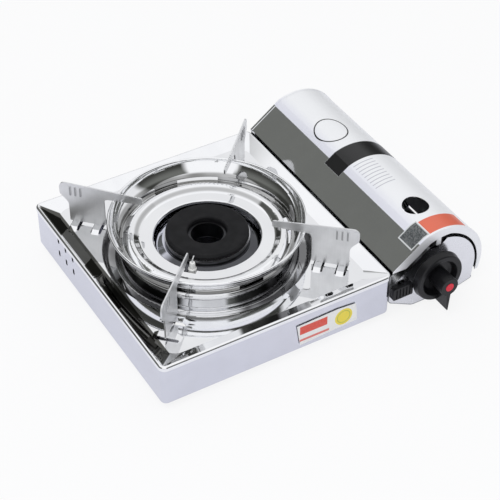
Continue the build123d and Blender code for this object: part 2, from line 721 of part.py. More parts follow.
def burner_elbow():
    """Cast elbow under the bowl's inlet, with a socket for the end of the mixing tube."""
    socket_end = NECK_REACH + SOCKET_LENGTH
    bend = (NECK_REACH, 0, TUBE_AXIS_HEIGHT)
    elbow = rod(NECK_RADIUS, bend, (NECK_REACH, 0, BOWL_BOTTOM))
    elbow += rod(
        TUBE_RADIUS + SOCKET_WALL, (NECK_REACH - NECK_RADIUS, 0, TUBE_AXIS_HEIGHT),
        (socket_end, 0, TUBE_AXIS_HEIGHT),
    )
    elbow -= rod(NECK_BORE, bend, (NECK_REACH, 0, BOWL_BOTTOM + 1))
    elbow -= rod(
        TUBE_RADIUS, (NECK_REACH - NECK_BORE, 0, TUBE_AXIS_HEIGHT),
        (socket_end + 1, 0, TUBE_AXIS_HEIGHT),
    )
    return aimed(TUBE_ANGLE) * elbow


def burner_screws():
    """Three screws up through the bracket into the bowl; one also clamps the electrode's arm."""
    screws = []
    for angle, seat in BURNER_SCREWS:
        x, y, end = burner_point(BURNER_SCREW_REACH, angle, BOWL_BOTTOM + BURNER_SCREW_BITE)
        screw = rod(RIVET_RADIUS, (x, y, seat), (x, y, end))
        screw += rod(RIVET_HEAD_RADIUS, (x, y, seat - RIVET_HEAD_HEIGHT), (x, y, seat))
        screws.append(screw)
    return Compound(children=screws)


def tube_point(distance):
    """Point on the mixing tube's axis at a distance from the burner's axis."""
    return burner_point(distance, TUBE_ANGLE, TUBE_AXIS_HEIGHT)


def mixing_tube():
    """Steel tube that carries gas and air to the burner, flared at its mouth."""
    flare_start = MOUTH_END - MOUTH_LENGTH
    flare_end = MOUTH_END - MOUTH_LENGTH / 3
    section = make_face(
        Polyline(
            (TUBE_START, TUBE_RADIUS - TUBE_WALL),
            (flare_start, TUBE_RADIUS - TUBE_WALL),
            (flare_end, MOUTH_RADIUS - TUBE_WALL),
            (MOUTH_END, MOUTH_RADIUS - TUBE_WALL),
            (MOUTH_END, MOUTH_RADIUS),
            (flare_end, MOUTH_RADIUS),
            (flare_start, TUBE_RADIUS),
            (TUBE_START, TUBE_RADIUS),
            close=True,
        )
    )
    pipe = revolve(Plane.XZ * section, Axis.X)
    return aimed(TUBE_ANGLE) * Pos(0, 0, TUBE_AXIS_HEIGHT) * pipe


def air_shutter():
    """Pressed cup over the tube's mouth with air windows in its face and the jet in its middle."""
    end = MOUTH_END + SHUTTER_LENGTH
    cup = tube(MOUTH_RADIUS, MOUTH_RADIUS - SHEET, (MOUTH_END, 0, 0), (end, 0, 0))
    cup += rod(MOUTH_RADIUS, (end - SHEET, 0, 0), (end, 0, 0))
    cup -= rod(JET_RADIUS, (MOUTH_END, 0, 0), (end + 1, 0, 0))
    window = block(end - 2 * SHEET, end + 1, JET_RADIUS + 1.2, MOUTH_RADIUS - 1.4, -2, 2)
    for index in range(SHUTTER_WINDOWS):
        cup -= Rot(360 * (index + 0.5) / SHUTTER_WINDOWS, 0, 0) * window
    return aimed(TUBE_ANGLE) * Pos(0, 0, TUBE_AXIS_HEIGHT) * cup


def gas_jet():
    """Brass jet that screws into the air shutter and points up the mixing tube."""
    shoulder = JET_START + JET_NOSE
    jet = rod(JET_RADIUS, tube_point(shoulder), tube_point(JET_END))
    jet += rod(JET_RADIUS * 0.55, tube_point(JET_START), tube_point(shoulder))
    jet -= rod(JET_BORE, tube_point(JET_START - 1), tube_point(shoulder + 2))
    jet -= rod(PIPE_RADIUS, tube_point(shoulder + 1.5), tube_point(JET_END + 1))
    return jet


def burner_tray():
    """Polished cone ring that lies on the bowl's ledge and closes the gap round the burner."""
    land = LEDGE_TOP + SHEET / 2
    inner = CAP_RADIUS + BOWL_RIM_PROUD - BOWL_RIM_STEP
    section = sheet_path(
        [
            (inner, land),
            (TRAY_LAND, land),
            (TRAY_RADIUS, land - TRAY_DROP),
            (TRAY_RADIUS, land - TRAY_DROP - TRAY_LIP),
        ],
        [1.0, 1.0],
    )
    hole = rod(
        CERAMIC_COLLAR_RADIUS + 0.5, (ELECTRODE_REACH, 0, LEDGE_TOP - TRAY_DROP - TRAY_LIP - 1),
        (ELECTRODE_REACH, 0, LEDGE_TOP + 2 * SHEET),
    )
    return turned(section) - aimed(ELECTRODE_ANGLE) * hole


def burner_bracket():
    """Pressed stand of a ring on three legs that carries the bowl from the pan's floor."""
    ring_middle = BOWL_BOTTOM - SHEET / 2
    foot_middle = PAN_BOTTOM + SHEET * 1.5
    stand = turned(
        Pos((BRACKET_INNER + BRACKET_OUTER) / 2, ring_middle)
        * Rectangle(BRACKET_OUTER - BRACKET_INNER, SHEET)
    )
    leg_path = [
        (BRACKET_OUTER - 4, ring_middle),
        (BRACKET_OUTER + 4, ring_middle),
        (BRACKET_OUTER + 6, foot_middle),
        (BRACKET_OUTER + 14, foot_middle),
    ]
    half = BRACKET_LEG_WIDTH / 2
    leg = along_y(sheet_path(leg_path, [1.5, 1.5]), -half, half)
    for angle in BRACKET_LEG_ANGLES:
        stand += aimed(TUBE_ANGLE + angle) * leg
    gap = NECK_RADIUS + NECK_CLEARANCE
    stand -= aimed(TUBE_ANGLE) * block(
        BRACKET_INNER / 2, BRACKET_OUTER + 1, -gap, gap, BRACKET_UNDER - 1, BOWL_BOTTOM + 1
    )
    for angle, _ in BURNER_SCREWS:
        x, y, z = burner_point(BURNER_SCREW_REACH, angle, ring_middle)
        stand -= rod(RIVET_RADIUS, (x, y, z - SHEET), (x, y, z + SHEET))
    return stand


# ---- ignition ----
def electrode_bracket():
    """Flat arm clamped under the burner's bracket that holds the spark electrode."""
    half = CERAMIC_RADIUS + ELECTRODE_ARM_EDGE
    inner = BURNER_SCREW_REACH - RIVET_HEAD_RADIUS - ELECTRODE_ARM_EDGE
    low = BRACKET_UNDER - SHEET
    arm = block(inner, ELECTRODE_REACH, -half, half, low, BRACKET_UNDER)
    arm += rod(half, (ELECTRODE_REACH, 0, low), (ELECTRODE_REACH, 0, BRACKET_UNDER))
    for reach, radius in (
        (ELECTRODE_REACH, CERAMIC_RADIUS),
        (BURNER_SCREW_REACH, RIVET_RADIUS + SCREW_CLEARANCE),
    ):
        arm -= rod(radius, (reach, 0, low - 1), (reach, 0, BRACKET_UNDER + 1))
    return aimed(ELECTRODE_ANGLE) * arm


def electrode_insulator():
    """White ceramic insulator with a collar, turned about the electrode."""
    collar_low = BOWL_BOTTOM + 6
    collar_high = collar_low + 6
    profile = outline(
        [
            (ELECTRODE_RADIUS, CERAMIC_BOTTOM),
            (CERAMIC_RADIUS, CERAMIC_BOTTOM),
            (CERAMIC_RADIUS, collar_low),
            (CERAMIC_COLLAR_RADIUS, collar_low),
            (CERAMIC_COLLAR_RADIUS, collar_high),
            (CERAMIC_RADIUS, collar_high + 1),
            (CERAMIC_RADIUS - 0.4, CERAMIC_TOP),
            (ELECTRODE_RADIUS, CERAMIC_TOP),
        ],
        [0, 0.4, 0, 0.4, 0.4, 0.4, 0.6, 0],
    )
    x, y, _ = burner_point(ELECTRODE_REACH, ELECTRODE_ANGLE, 0)
    return Pos(x, y, 0) * revolve(Plane.XZ * profile, Axis.Z)


def electrode_pin():
    """Wire electrode through the ceramic, bent over towards the burner's edge."""
    top = CERAMIC_TOP + ELECTRODE_RISE
    points = [
        burner_point(ELECTRODE_REACH, ELECTRODE_ANGLE, CERAMIC_BOTTOM),
        burner_point(ELECTRODE_REACH, ELECTRODE_ANGLE, top),
        burner_point(ELECTRODE_REACH - 4.0, ELECTRODE_ANGLE, top + 0.8),
    ]
    return bent_rod(ELECTRODE_RADIUS, points, [1.5])


def igniter_body():
    """Piezo igniter in a moulded case between the front panel and the valve."""
    case = rounded_block(
        KNOB_X - IGNITER_HALF, KNOB_X + IGNITER_HALF, PANEL_BACK, REGULATOR_FRONT,
        KNOB_HEIGHT - IGNITER_UNDER, KNOB_HEIGHT + IGNITER_OVER, 2.0,
    )
    return case - rod(SPINDLE_RADIUS + 0.5, (KNOB_X, 0, KNOB_HEIGHT), (KNOB_X, 20, KNOB_HEIGHT))


def lead_route():
    """Corners of the igniter's lead, from the igniter round the lever and under the burner."""
    wall_x, wall_y, wall_z = lead_wall_point()
    start = (KNOB_X - IGNITER_HALF, (PANEL_BACK + REGULATOR_FRONT) / 2, wall_z)
    end = burner_point(ELECTRODE_REACH, ELECTRODE_ANGLE, CERAMIC_BOTTOM)
    front = FOOT_INSET + 8
    return [
        start,
        (start[0] - 9.5, start[1], start[2]),
        (start[0] - 9.5, wall_y, wall_z),
        (wall_x - 8, wall_y, wall_z),
        (wall_x - 14, front, LEAD_HEIGHT),
        (end[0], front, LEAD_HEIGHT),
        (end[0], end[1], LEAD_HEIGHT),
        end,
    ]


def igniter_lead():
    """High-voltage lead from the igniter to the foot of the electrode."""
    return bent_rod(LEAD_RADIUS, lead_route(), [4.0, 4.0, 6.0, 6.0, 8.0, 8.0])


def lead_wall_point():
    """Where the lead passes the right wall of the burner box."""
    return WALL_OUTER_X, REGULATOR_BACK - 2, KNOB_HEIGHT - 4


def pipe_wall_point():
    """Where the gas pipe passes the right wall of the burner box."""
    _, y, z = tube_point(JET_END + PIPE_BEND)
    return WALL_OUTER_X, y, z


def wall_holes():
    """Cutters through the burner box's right wall and the bay's wall beside it."""
    cutters = []
    for radius, place in (
        (PIPE_RADIUS + WALL_HOLE_CLEARANCE, pipe_wall_point()),
        (LEAD_RADIUS + WALL_HOLE_CLEARANCE, lead_wall_point()),
    ):
        x, y, z = place
        cutters.append(rod(radius, (x - 3, y, z), (x + 3, y, z)))
    for y in RIVET_PLACES:
        start, end = WALL_OUTER_X - 3, WALL_OUTER_X + 3
        cutters.append(rod(RIVET_RADIUS, (start, y, RIVET_HEIGHT), (end, y, RIVET_HEIGHT)))
    return cutters


def gas_pipe():
    """Thin pipe from the valve's outlet through the wall into the jet."""
    _, wall_y, wall_z = pipe_wall_point()
    valve_y = REGULATOR_BACK - 6
    valve_x = KNOB_X - REGULATOR_LEFT
    points = [
        tube_point(JET_START + JET_NOSE + 2),
        tube_point(JET_END + PIPE_BEND),
        (valve_x - 15, wall_y, wall_z),
        (valve_x - 9, valve_y, wall_z),
        (valve_x, valve_y, wall_z),
    ]
    return bent_rod(PIPE_RADIUS, points, [PIPE_BEND, PIPE_BEND, PIPE_BEND])


# ---- pan supports ----
def pan_support(index):
    """Stamped blade: toothed arm over the dish, leg with two tabs in the plate's lugs, outer ear."""
    tip_top = SUPPORT_TOP - TIP_TOP_DROP
    arm_bottom = DISH_TOP + ARM_CLEARANCE
    ear_bottom = SUPPORT_TOP - EAR_DEPTH
    points = [
        (TIP_RADIUS, tip_top),
        (EAR_RADIUS, SUPPORT_TOP),
        (EAR_RADIUS, ear_bottom),
        (LEG_OUTER, ear_bottom - EAR_NECK),
        (LEG_OUTER, LEG_BOTTOM),
        (LEG_INNER, LEG_BOTTOM),
        (LEG_INNER, arm_bottom),
        (TIP_RADIUS, tip_top - TIP_DEPTH),
    ]
    blade = outline(points, [1.5, 5.0, 4.0, 9.0, 1.0, 1.0, 3.5, 1.5])
    slope = TIP_TOP_DROP / (EAR_RADIUS - TIP_RADIUS)
    for tooth in range(TOOTH_COUNT):
        radius = TIP_RADIUS + 3.0 + tooth * TOOTH_PITCH
        height = tip_top + slope * (radius - TIP_RADIUS)
        blade -= make_face(
            Polyline(
                (radius, height + 0.5),
                (radius + TOOTH_PITCH / 2, height - TOOTH_DEPTH),
                (radius + TOOTH_PITCH / 2, height + 0.5),
                close=True,
            )
        )
    tab_middle = LEG_BOTTOM - TAB_REACH / 2
    for radius in (LUG_INNER, LUG_OUTER):
        blade += Pos(radius, tab_middle + 0.5) * Rectangle(TAB_WIDTH, TAB_REACH + 1)
    solid = along_y(blade, -BLADE / 2, BLADE / 2)
    for rib in range(RIB_COUNT):
        bar = Pos(LEG_OUTER - 2.0 - rib * RIB_PITCH, SUPPORT_TOP - RIB_DROP - RIB_HEIGHT / 2)
        bar = bar * SlotOverall(RIB_HEIGHT, RIB_WIDTH, 90)
        solid += along_y(bar, -BLADE / 2 - RIB_PROUD, BLADE / 2 + RIB_PROUD)
    return on_ring(index, SUPPORT_COUNT, SUPPORT_FIRST_ANGLE) * solid


# ---- cartridge bay ----
def hinge_spans():
    """Stretches of the hinge along Y, shared in turn by the bay and the cover."""
    start = COVER_FRONT + HINGE_END_GAP
    pitch = (COVER_BACK - HINGE_END_GAP - start) / KNUCKLE_COUNT
    half_gap = KNUCKLE_GAP / 2
    spans = []
    for index in range(KNUCKLE_COUNT):
        spans.append((start + index * pitch + half_gap, start + (index + 1) * pitch - half_gap))
    return spans


def knuckle(span, bore):
    """Rolled hinge eye round the pin."""
    return tube(
        KNUCKLE_OUTER, bore, (HINGE_X, span[0], HINGE_HEIGHT), (HINGE_X, span[1], HINGE_HEIGHT)
    )


def bay_path():
    """Corners of the bay's sheet from the burner box, under the cartridge, to the hinge."""
    return [
        (BAY_LEFT_X, BAY_LEFT_TOP),
        (BAY_LEFT_X, BAY_LEFT_KNEE),
        (BAY_FLOOR_LEFT, BAY_FLOOR_MIDDLE),
        (BAY_FLOOR_RIGHT, BAY_FLOOR_MIDDLE),
        (BAY_EDGE_X, BAY_EDGE_TOP - BAY_EDGE_DROP),
        (BAY_EDGE_X, BAY_EDGE_TOP),
    ]


def bay_inside():
    """Everything in X and Z that lies inside the bay's sheet or above its edges."""
    beyond = BAY_EDGE_X + FAR
    above = PLATE_TOP + FAR
    points = bay_path() + [(beyond, BAY_EDGE_TOP), (beyond, above), (BAY_LEFT_X, above)]
    region = outline(points, [0] + BAY_BENDS + [0, 0, 0, 0])
    return offset(region, -SHEET / 2, kind=Kind.INTERSECTION)


def cartridge_bay():
    """Trough that holds the cartridge, hung on the burner box's wall, with half the hinge's eyes."""
    trough = along_y(sheet_path(bay_path(), BAY_BENDS), PANEL_FRONT, BAY_BACK + SHEET)
    for span in hinge_spans()[::2]:
        web = block(
            BAY_EDGE_X - SHEET / 2, BAY_EDGE_X + SHEET / 2, span[0], span[1],
            BAY_EDGE_TOP - 0.5, HINGE_HEIGHT,
        )
        trough += web + knuckle(span, HINGE_PIN_RADIUS)
    return trough - wall_holes()


def bay_rivets():
    """Rivets that hold the bay to the burner box's right wall."""
    rivets = []
    for y in RIVET_PLACES:
        inner = WALL_OUTER_X - SHEET
        outer = WALL_OUTER_X + SHEET
        rivet = rod(RIVET_RADIUS, (inner, y, RIVET_HEIGHT), (outer, y, RIVET_HEIGHT))
        for start, end in ((inner - RIVET_HEAD_HEIGHT, inner), (outer, outer + RIVET_HEAD_HEIGHT)):
            rivet += rod(RIVET_HEAD_RADIUS, (start, y, RIVET_HEIGHT), (end, y, RIVET_HEIGHT))
        rivets.append(rivet)
    return Compound(children=rivets)


def arc_point(radius, angle):
    """Point in X and Z on an arc about the cover's middle."""
    return (CARTRIDGE_X + radius * cos(angle), ARC_HEIGHT + radius * sin(angle))


def cover_edge():
    """Point on the cover's sheet, at its outside, where it ends above the hinge's eyes."""
    height = HINGE_HEIGHT + KNUCKLE_OUTER + EYE_CLEARANCE
    return arc_point(COVER_RADIUS, asin((height - ARC_HEIGHT) / COVER_RADIUS))


def cover_region():
    """Area in X and Z inside the cover's outer face, run down past the bay's floor."""
    edge_x, edge_z = cover_edge()
    crease = atan2(FLANK_TOP_Z - ARC_HEIGHT, FLANK_TOP_X - CARTRIDGE_X)
    edge = asin((edge_z - ARC_HEIGHT) / COVER_RADIUS)
    crease_point = arc_point(COVER_RADIUS, crease)
    floor = BAY_FLOOR_HEIGHT - 10
    arc = ThreePointArc(crease_point, arc_point(COVER_RADIUS, (crease + edge) / 2), (edge_x, edge_z))
    sides = Polyline(
        (edge_x, edge_z), (edge_x, floor), (FREE_EDGE_X, floor), (FREE_EDGE_X, PLATE_TOP), crease_point
    )
    return make_face(arc + sides)


def cover_band(outer, inner):
    """Band between two outlines of the cover, ended at its free edge and above the hinge's eyes."""
    _, edge_z = cover_edge()
    band = outer - inner
    band -= Pos(CARTRIDGE_X + FAR / 2, edge_z - FAR / 2) * Rectangle(FAR, FAR)
    return band - Pos(CARTRIDGE_X - FAR / 2, PLATE_TOP - COVER_LIP - FAR / 2) * Rectangle(FAR, FAR)


def cover_section(outward, inward):
    """Section of the cover's sheet, from its lipped free edge over the flank and arc to the hinge."""
    region = cover_region()
    outer = offset(region, outward, kind=Kind.INTERSECTION) if outward else region
    return cover_band(outer, offset(region, -inward, kind=Kind.INTERSECTION))


def front_lip():
    """Section of the flat lip turned in from the cover's front edge, widest along the flank."""
    region = cover_region()
    under_arc = Pos(-FRONT_LIP_LEFT, -FRONT_LIP_DOWN) * region
    across, down = FRONT_LIP_FLANK * sin(FLANK_ANGLE), FRONT_LIP_FLANK * cos(FLANK_ANGLE)
    under_flank = Pos(across, -down) * region
    return cover_band(region, under_arc & under_flank)


def canister_cover():
    """Rolled sheet cover with rolled ends, a front lip with a catch tongue, and its hinge eyes."""
    cover = along_y(cover_section(0, SHEET), COVER_FRONT + ROLL_WIDTH, COVER_BACK - ROLL_WIDTH)
    rolled = cover_section(ROLL_PROUD, SHEET + ROLL_PROUD)
    cover += along_y(rolled, COVER_FRONT, COVER_FRONT + ROLL_WIDTH)
    cover += along_y(rolled, COVER_BACK - ROLL_WIDTH, COVER_BACK)
    cover += along_y(front_lip(), COVER_FRONT, COVER_FRONT + SHEET)
    cover += block(
        TONGUE_X - TONGUE_WIDTH / 2, TONGUE_X + TONGUE_WIDTH / 2, COVER_FRONT, COVER_FRONT + SHEET,
        TONGUE_LOW, ARC_HEIGHT + COVER_RADIUS - FRONT_LIP_DOWN,
    )
    cover -= rod(
        COVER_HOLE_RADIUS, (CARTRIDGE_X, COVER_HOLE_Y, ARC_HEIGHT + COVER_RADIUS / 2),
        (CARTRIDGE_X, COVER_HOLE_Y, ARC_HEIGHT + COVER_RADIUS + 1),
    )
    edge_x, edge_z = cover_edge()
    eye_right = HINGE_X + KNUCKLE_OUTER
    strap = make_face(
        Polyline(
            (edge_x - SHEET, edge_z + 0.6),
            (edge_x, edge_z + 0.6),
            (eye_right, HINGE_HEIGHT),
            (eye_right - SHEET, HINGE_HEIGHT),
            close=True,
        )
    )
    for span in hinge_spans()[1::2]:
        cover += along_y(strap, *span) + knuckle(span, KNUCKLE_BORE)
    return cover


def cover_hinge_pin():
    """Steel hinge pin held in the bay's eyes."""
    spans = hinge_spans()
    start, end = spans[0][0] - 2, spans[-1][1] + 2
    return rod(HINGE_PIN_RADIUS, (HINGE_X, start, HINGE_HEIGHT), (HINGE_X, end, HINGE_HEIGHT))


def panel_face(inset, drop, flank_inset):
    """Outline of the bay's end panels in X and Z, inset from the cover and fitted in the bay."""
    radius = COVER_RADIUS - inset
    middle = ARC_HEIGHT - drop
    low = BAY_FLOOR_HEIGHT - 5
    left = WALL_OUTER_X - 5
    right = CARTRIDGE_X + radius
    rise = tan(FLANK_ANGLE)
    left_top = PLATE_TOP - flank_inset / cos(FLANK_ANGLE) + (left - FREE_EDGE_X) * rise
    right_top = left_top + (right - left) * rise
    under_flank = outline([(left, low), (right, low), (right, right_top), (left, left_top)])
    shoulder = CARTRIDGE_X - radius * sin(FLANK_ANGLE)
    area = Pos(CARTRIDGE_X, middle) * Circle(radius)
    area += outline([(left, low), (shoulder, low), (shoulder, FLANK_TOP_Z), (left, FLANK_TOP_Z)])
    area += outline(
        [(left, low), (BAY_EDGE_X, low), (BAY_EDGE_X, BAY_EDGE_TOP), (right, middle), (left, middle)]
    )
    return area & under_flank & bay_inside()


def front_panel():
    """Drawn front end of the bay: a flange round its top, a spindle hole, a lever slot and a notch."""
    face = panel_face(PANEL_INSET, PANEL_DROP, PANEL_FLANK_INSET)
    flange_end = PANEL_FRONT + PANEL_FLANGE
    panel = along_y(face, PANEL_FRONT, flange_end)
    panel -= along_y(offset(face, -SHEET, kind=Kind.INTERSECTION), PANEL_BACK, flange_end + 1)
    panel -= block(0, BAY_EDGE_X + FAR, PANEL_BACK, flange_end + 1, -1, FLANGE_LOW)
    panel -= along_y(outline(CATCH_NOTCH, [1.5, 1.5, 0, 0, 0]), 0, flange_end + 1)
    spindle_hole = SPINDLE_RADIUS + PANEL_SHAFT_CLEARANCE
    panel -= rod(spindle_hole, (KNOB_X, 0, KNOB_HEIGHT), (KNOB_X, PANEL_BACK + 1, KNOB_HEIGHT))
    reach = LEVER_STEM / 2 + STEM_CLEARANCE
    slot_top = LEVER_BOTTOM + LEVER_HEIGHT + STEM_SLOT_TOP
    panel -= block(
        STEM_X - reach, STEM_X + reach, 0, PANEL_BACK + 1, STEM_Z - reach - LEVER_TRAVEL, slot_top
    )
    return panel


def back_panel():
    """Flat rear end of the bay."""
    face = panel_face(BACK_PANEL_INSET, 0, BACK_PANEL_FLANK_INSET)
    return along_y(face, BAY_BACK, BAY_BACK + SHEET)


def cartridge_cradle(y):
    """Saddle rib that centres the cartridge in the trough."""
    half = CRADLE_LENGTH / 2
    saddle = block(
        CARTRIDGE_X - CRADLE_HALF, CARTRIDGE_X + CRADLE_HALF, y - half, y + half,
        BAY_FLOOR_TOP, BAY_FLOOR_TOP + CRADLE_HEIGHT,
    )
    return saddle - rod(
        CARTRIDGE_RADIUS + 0.2, (CARTRIDGE_X, y - half - 1, CARTRIDGE_HEIGHT),
        (CARTRIDGE_X, y + half + 1, CARTRIDGE_HEIGHT),
    )


# ---- valve and controls ----
def regulator_body():
    """Die-cast valve and pressure regulator behind the igniter."""
    body = rounded_block(
        KNOB_X - REGULATOR_LEFT, KNOB_X + REGULATOR_RIGHT, REGULATOR_FRONT, REGULATOR_BACK,
        KNOB_HEIGHT - REGULATOR_UNDER, KNOB_HEIGHT + REGULATOR_OVER, 3.0,
    )
    body += rod(
        INLET_BOSS_RADIUS, (CARTRIDGE_X, REGULATOR_BACK - 1, CARTRIDGE_HEIGHT),
        (CARTRIDGE_X, INLET_FRONT, CARTRIDGE_HEIGHT),
    )
    return body - rod(
        SPINDLE_RADIUS + HINGE_CLEARANCE, (KNOB_X, 0, KNOB_HEIGHT),
        (KNOB_X, REGULATOR_FRONT + SPINDLE_REACH + 0.3, KNOB_HEIGHT),
    )


def diaphragm_cover():
    """Pressed cover over the regulator's diaphragm."""
    low = KNOB_HEIGHT + REGULATOR_OVER
    high = low + DIAPHRAGM_HEIGHT
    profile = outline(
        [
            (0, low), (DIAPHRAGM_RADIUS, low), (DIAPHRAGM_RADIUS, low + 1.6),
            (DIAPHRAGM_RADIUS * 0.6, high), (0, high),
        ],
        [0, 0.4, 0.6, 2.5, 0],
    )
    x = KNOB_X + (REGULATOR_RIGHT - REGULATOR_LEFT) / 2
    y = (REGULATOR_FRONT + REGULATOR_BACK) / 2
    return Pos(x, y, 0) * revolve(Plane.XZ * profile, Axis.Z)


def regulator_stand():
    """Bent strip from the bay's floor that carries the regulator."""
    half = (REGULATOR_RIGHT + REGULATOR_LEFT) / 2 - 6
    middle = KNOB_X + (REGULATOR_RIGHT - REGULATOR_LEFT) / 2
    top = KNOB_HEIGHT - REGULATOR_UNDER
    low = BAY_FLOOR_TOP + SHEET / 2
    path = [(middle - half, top), (middle - half, low), (middle + half, low), (middle + half, top)]
    return along_y(sheet_path(path, [1.5, 1.5]), REGULATOR_FRONT + 3, REGULATOR_BACK - 3)


def inlet_spigot():
    """Brass seat that opens the cartridge's valve."""
    x, z = CARTRIDGE_X, CARTRIDGE_HEIGHT
    end = INLET_FRONT + INLET_LENGTH
    spigot = rod(INLET_RADIUS, (x, INLET_FRONT, z), (x, end, z))
    spigot += rod(SEAL_RADIUS + INLET_FLANGE, (x, INLET_FRONT, z), (x, INLET_FRONT + INLET_SHOULDER, z))
    return spigot - rod(INLET_BORE, (x, INLET_FRONT - 1, z), (x, end + 1, z))


def inlet_seal():
    """Rubber ring that seals against the cartridge's collar."""
    start = INLET_FRONT + INLET_SHOULDER
    return tube(
        SEAL_RADIUS, INLET_RADIUS, (CARTRIDGE_X, start, CARTRIDGE_HEIGHT),
        (CARTRIDGE_X, start + SEAL_LENGTH, CARTRIDGE_HEIGHT),
    )


def set_lever():
    """Ribbed thumb lever whose stem passes the front panel and ends in a plate with a slanted slot."""
    lever_top = LEVER_BOTTOM + LEVER_HEIGHT
    lever = block(
        LEVER_LEFT, LEVER_LEFT + LEVER_WIDTH, LEVER_FRONT, LEVER_BACK, LEVER_BOTTOM, lever_top
    )
    lever = fillet(lever.edges().filter_by(Axis.Y), 1.0)
    pitch = LEVER_WIDTH / LEVER_RIBS
    for index in range(LEVER_RIBS - 1):
        x = LEVER_LEFT + (index + 1) * pitch
        lever -= block(
            x - LEVER_GROOVE / 2, x + LEVER_GROOVE / 2, LEVER_FRONT - 1,
            LEVER_FRONT + LEVER_GROOVE_DEPTH, LEVER_BOTTOM + LEVER_GROOVE, lever_top - LEVER_GROOVE,
        )
    half = LEVER_STEM / 2
    lever += block(STEM_X - half, STEM_X + half, LEVER_BACK - 0.5, CAM_FRONT, STEM_Z - half, STEM_Z + half)
    cam_top = LINK_PIN_Z + LEVER_TRAVEL + 3
    lever += block(STEM_X - 0.6, STEM_X + 0.6, CAM_FRONT - 3, CAM_BACK, STEM_Z - half, STEM_Z + half)
    lever += block(STEM_X - 0.6, STEM_X + 0.6, CAM_FRONT, CAM_BACK, STEM_Z - half, cam_top)
    slot_radius = LINK_PIN_RADIUS + LINK_CLEARANCE
    slot = rod(slot_radius, (STEM_X - 2, LINK_PIN_Y, LINK_PIN_Z), (STEM_X + 2, LINK_PIN_Y, LINK_PIN_Z))
    run = (-HOLDER_TRAVEL, LEVER_TRAVEL)
    length = hypot(*run)
    bar = extrude(Plane.YZ * (Pos(length / 2, 0) * Rectangle(length, 2 * slot_radius)), 4)
    angle = degrees(atan2(run[1], run[0]))
    end_y, end_z = LINK_PIN_Y + run[0], LINK_PIN_Z + run[1]
    slot += Pos(STEM_X - 2, LINK_PIN_Y, LINK_PIN_Z) * Rot(angle, 0, 0) * bar
    slot += rod(slot_radius, (STEM_X - 2, end_y, end_z), (STEM_X + 2, end_y, end_z))
    return lever - slot


def can_holder():
    """Sliding plate that hooks the cartridge's collar, with an arm whose pin rides in the lever."""
    back = HOLDER_FRONT + HOLDER_SHEET
    plate = block(
        CARTRIDGE_X - HOLDER_HALF, CARTRIDGE_X + HOLDER_HALF, HOLDER_FRONT, back,
        BAY_FLOOR_TOP, CARTRIDGE_HEIGHT + HOLDER_RISE,
    )
    plate -= rod(
        HOLDER_THROAT, (CARTRIDGE_X, HOLDER_FRONT - 1, CARTRIDGE_HEIGHT),
        (CARTRIDGE_X, back + 1, CARTRIDGE_HEIGHT),
    )
    plate -= block(
        CARTRIDGE_X - HOLDER_THROAT, CARTRIDGE_X + HOLDER_THROAT, HOLDER_FRONT - 1, back + 1,
        CARTRIDGE_HEIGHT, CARTRIDGE_HEIGHT + FAR,
    )
    arm_left = STEM_X + 0.9
    arm_low, arm_high = LINK_PIN_Z - 3, LINK_PIN_Z + 3
    plate += block(arm_left, CARTRIDGE_X - HOLDER_HALF + 1, HOLDER_FRONT, back, arm_low, arm_high)
    plate += block(arm_left, arm_left + HOLDER_SHEET, LINK_PIN_Y - 3, back, arm_low, arm_high)
    plate += rod(
        LINK_PIN_RADIUS, (STEM_X - 1.6, LINK_PIN_Y, LINK_PIN_Z), (arm_left + 0.5, LINK_PIN_Y, LINK_PIN_Z)
    )
    return plate


def holder_guides():
    """Two strips on the bay's floor that guide the holder's edges."""
    guides = []
    for side in (-1, 1):
        near = CARTRIDGE_X + side * (HOLDER_HALF + GUIDE_CLEARANCE)
        far = near + side * GUIDE_WIDTH
        guides.append(
            block(
                min(near, far), max(near, far), HOLDER_FRONT - HOLDER_TRAVEL - GUIDE_MARGIN,
                HOLDER_FRONT + HOLDER_SHEET + GUIDE_MARGIN, BAY_FLOOR_TOP, BAY_FLOOR_TOP + GUIDE_HEIGHT,
            )
        )
    return Compound(children=guides)


def knob():
    """Moulded control knob: dished skirt, round boss and a thin pointer that runs past the rim."""
    floor = KNOB_SKIRT - KNOB_RECESS
    rim_inner = KNOB_RADIUS - KNOB_RIM_WALL
    profile = outline(
        [
            (SPINDLE_RADIUS, 0),
            (KNOB_RADIUS, 0),
            (KNOB_RADIUS - KNOB_TAPER, KNOB_SKIRT),
            (rim_inner, KNOB_SKIRT),
            (rim_inner - KNOB_RECESS_SLOPE, floor),
            (SPINDLE_RADIUS, floor),
        ],
        [0, 1.0, 1.4, 0.8, 2.0, 0],
    )
    disc = revolve(Plane.XZ * profile, Axis.Z)
    boss = Cylinder(KNOB_BOSS_RADIUS, KNOB_BOSS_HEIGHT, align=(Align.CENTER, Align.CENTER, Align.MIN))
    root, tip = POINTER_ROOT_WIDTH / 2, POINTER_TIP_WIDTH / 2
    wing = extrude(
        outline([(-root, 0), (root, 0), (tip, -POINTER_REACH), (-tip, -POINTER_REACH)]),
        KNOB_BOSS_HEIGHT,
    )
    body = disc + boss + wing
    body = chamfer(body.edges().group_by(Axis.Z)[-1], POINTER_TIP_WIDTH / 3)
    body -= Cylinder(SPINDLE_RADIUS, 2 * SPINDLE_SOCKET)
    body -= Pos(0, 0, KNOB_BOSS_HEIGHT) * Cylinder(DOT_RADIUS, 2 * DOT_DEPTH)
    return Pos(KNOB_X, KNOB_BACK, KNOB_HEIGHT) * Rot(90, 0, 0) * body


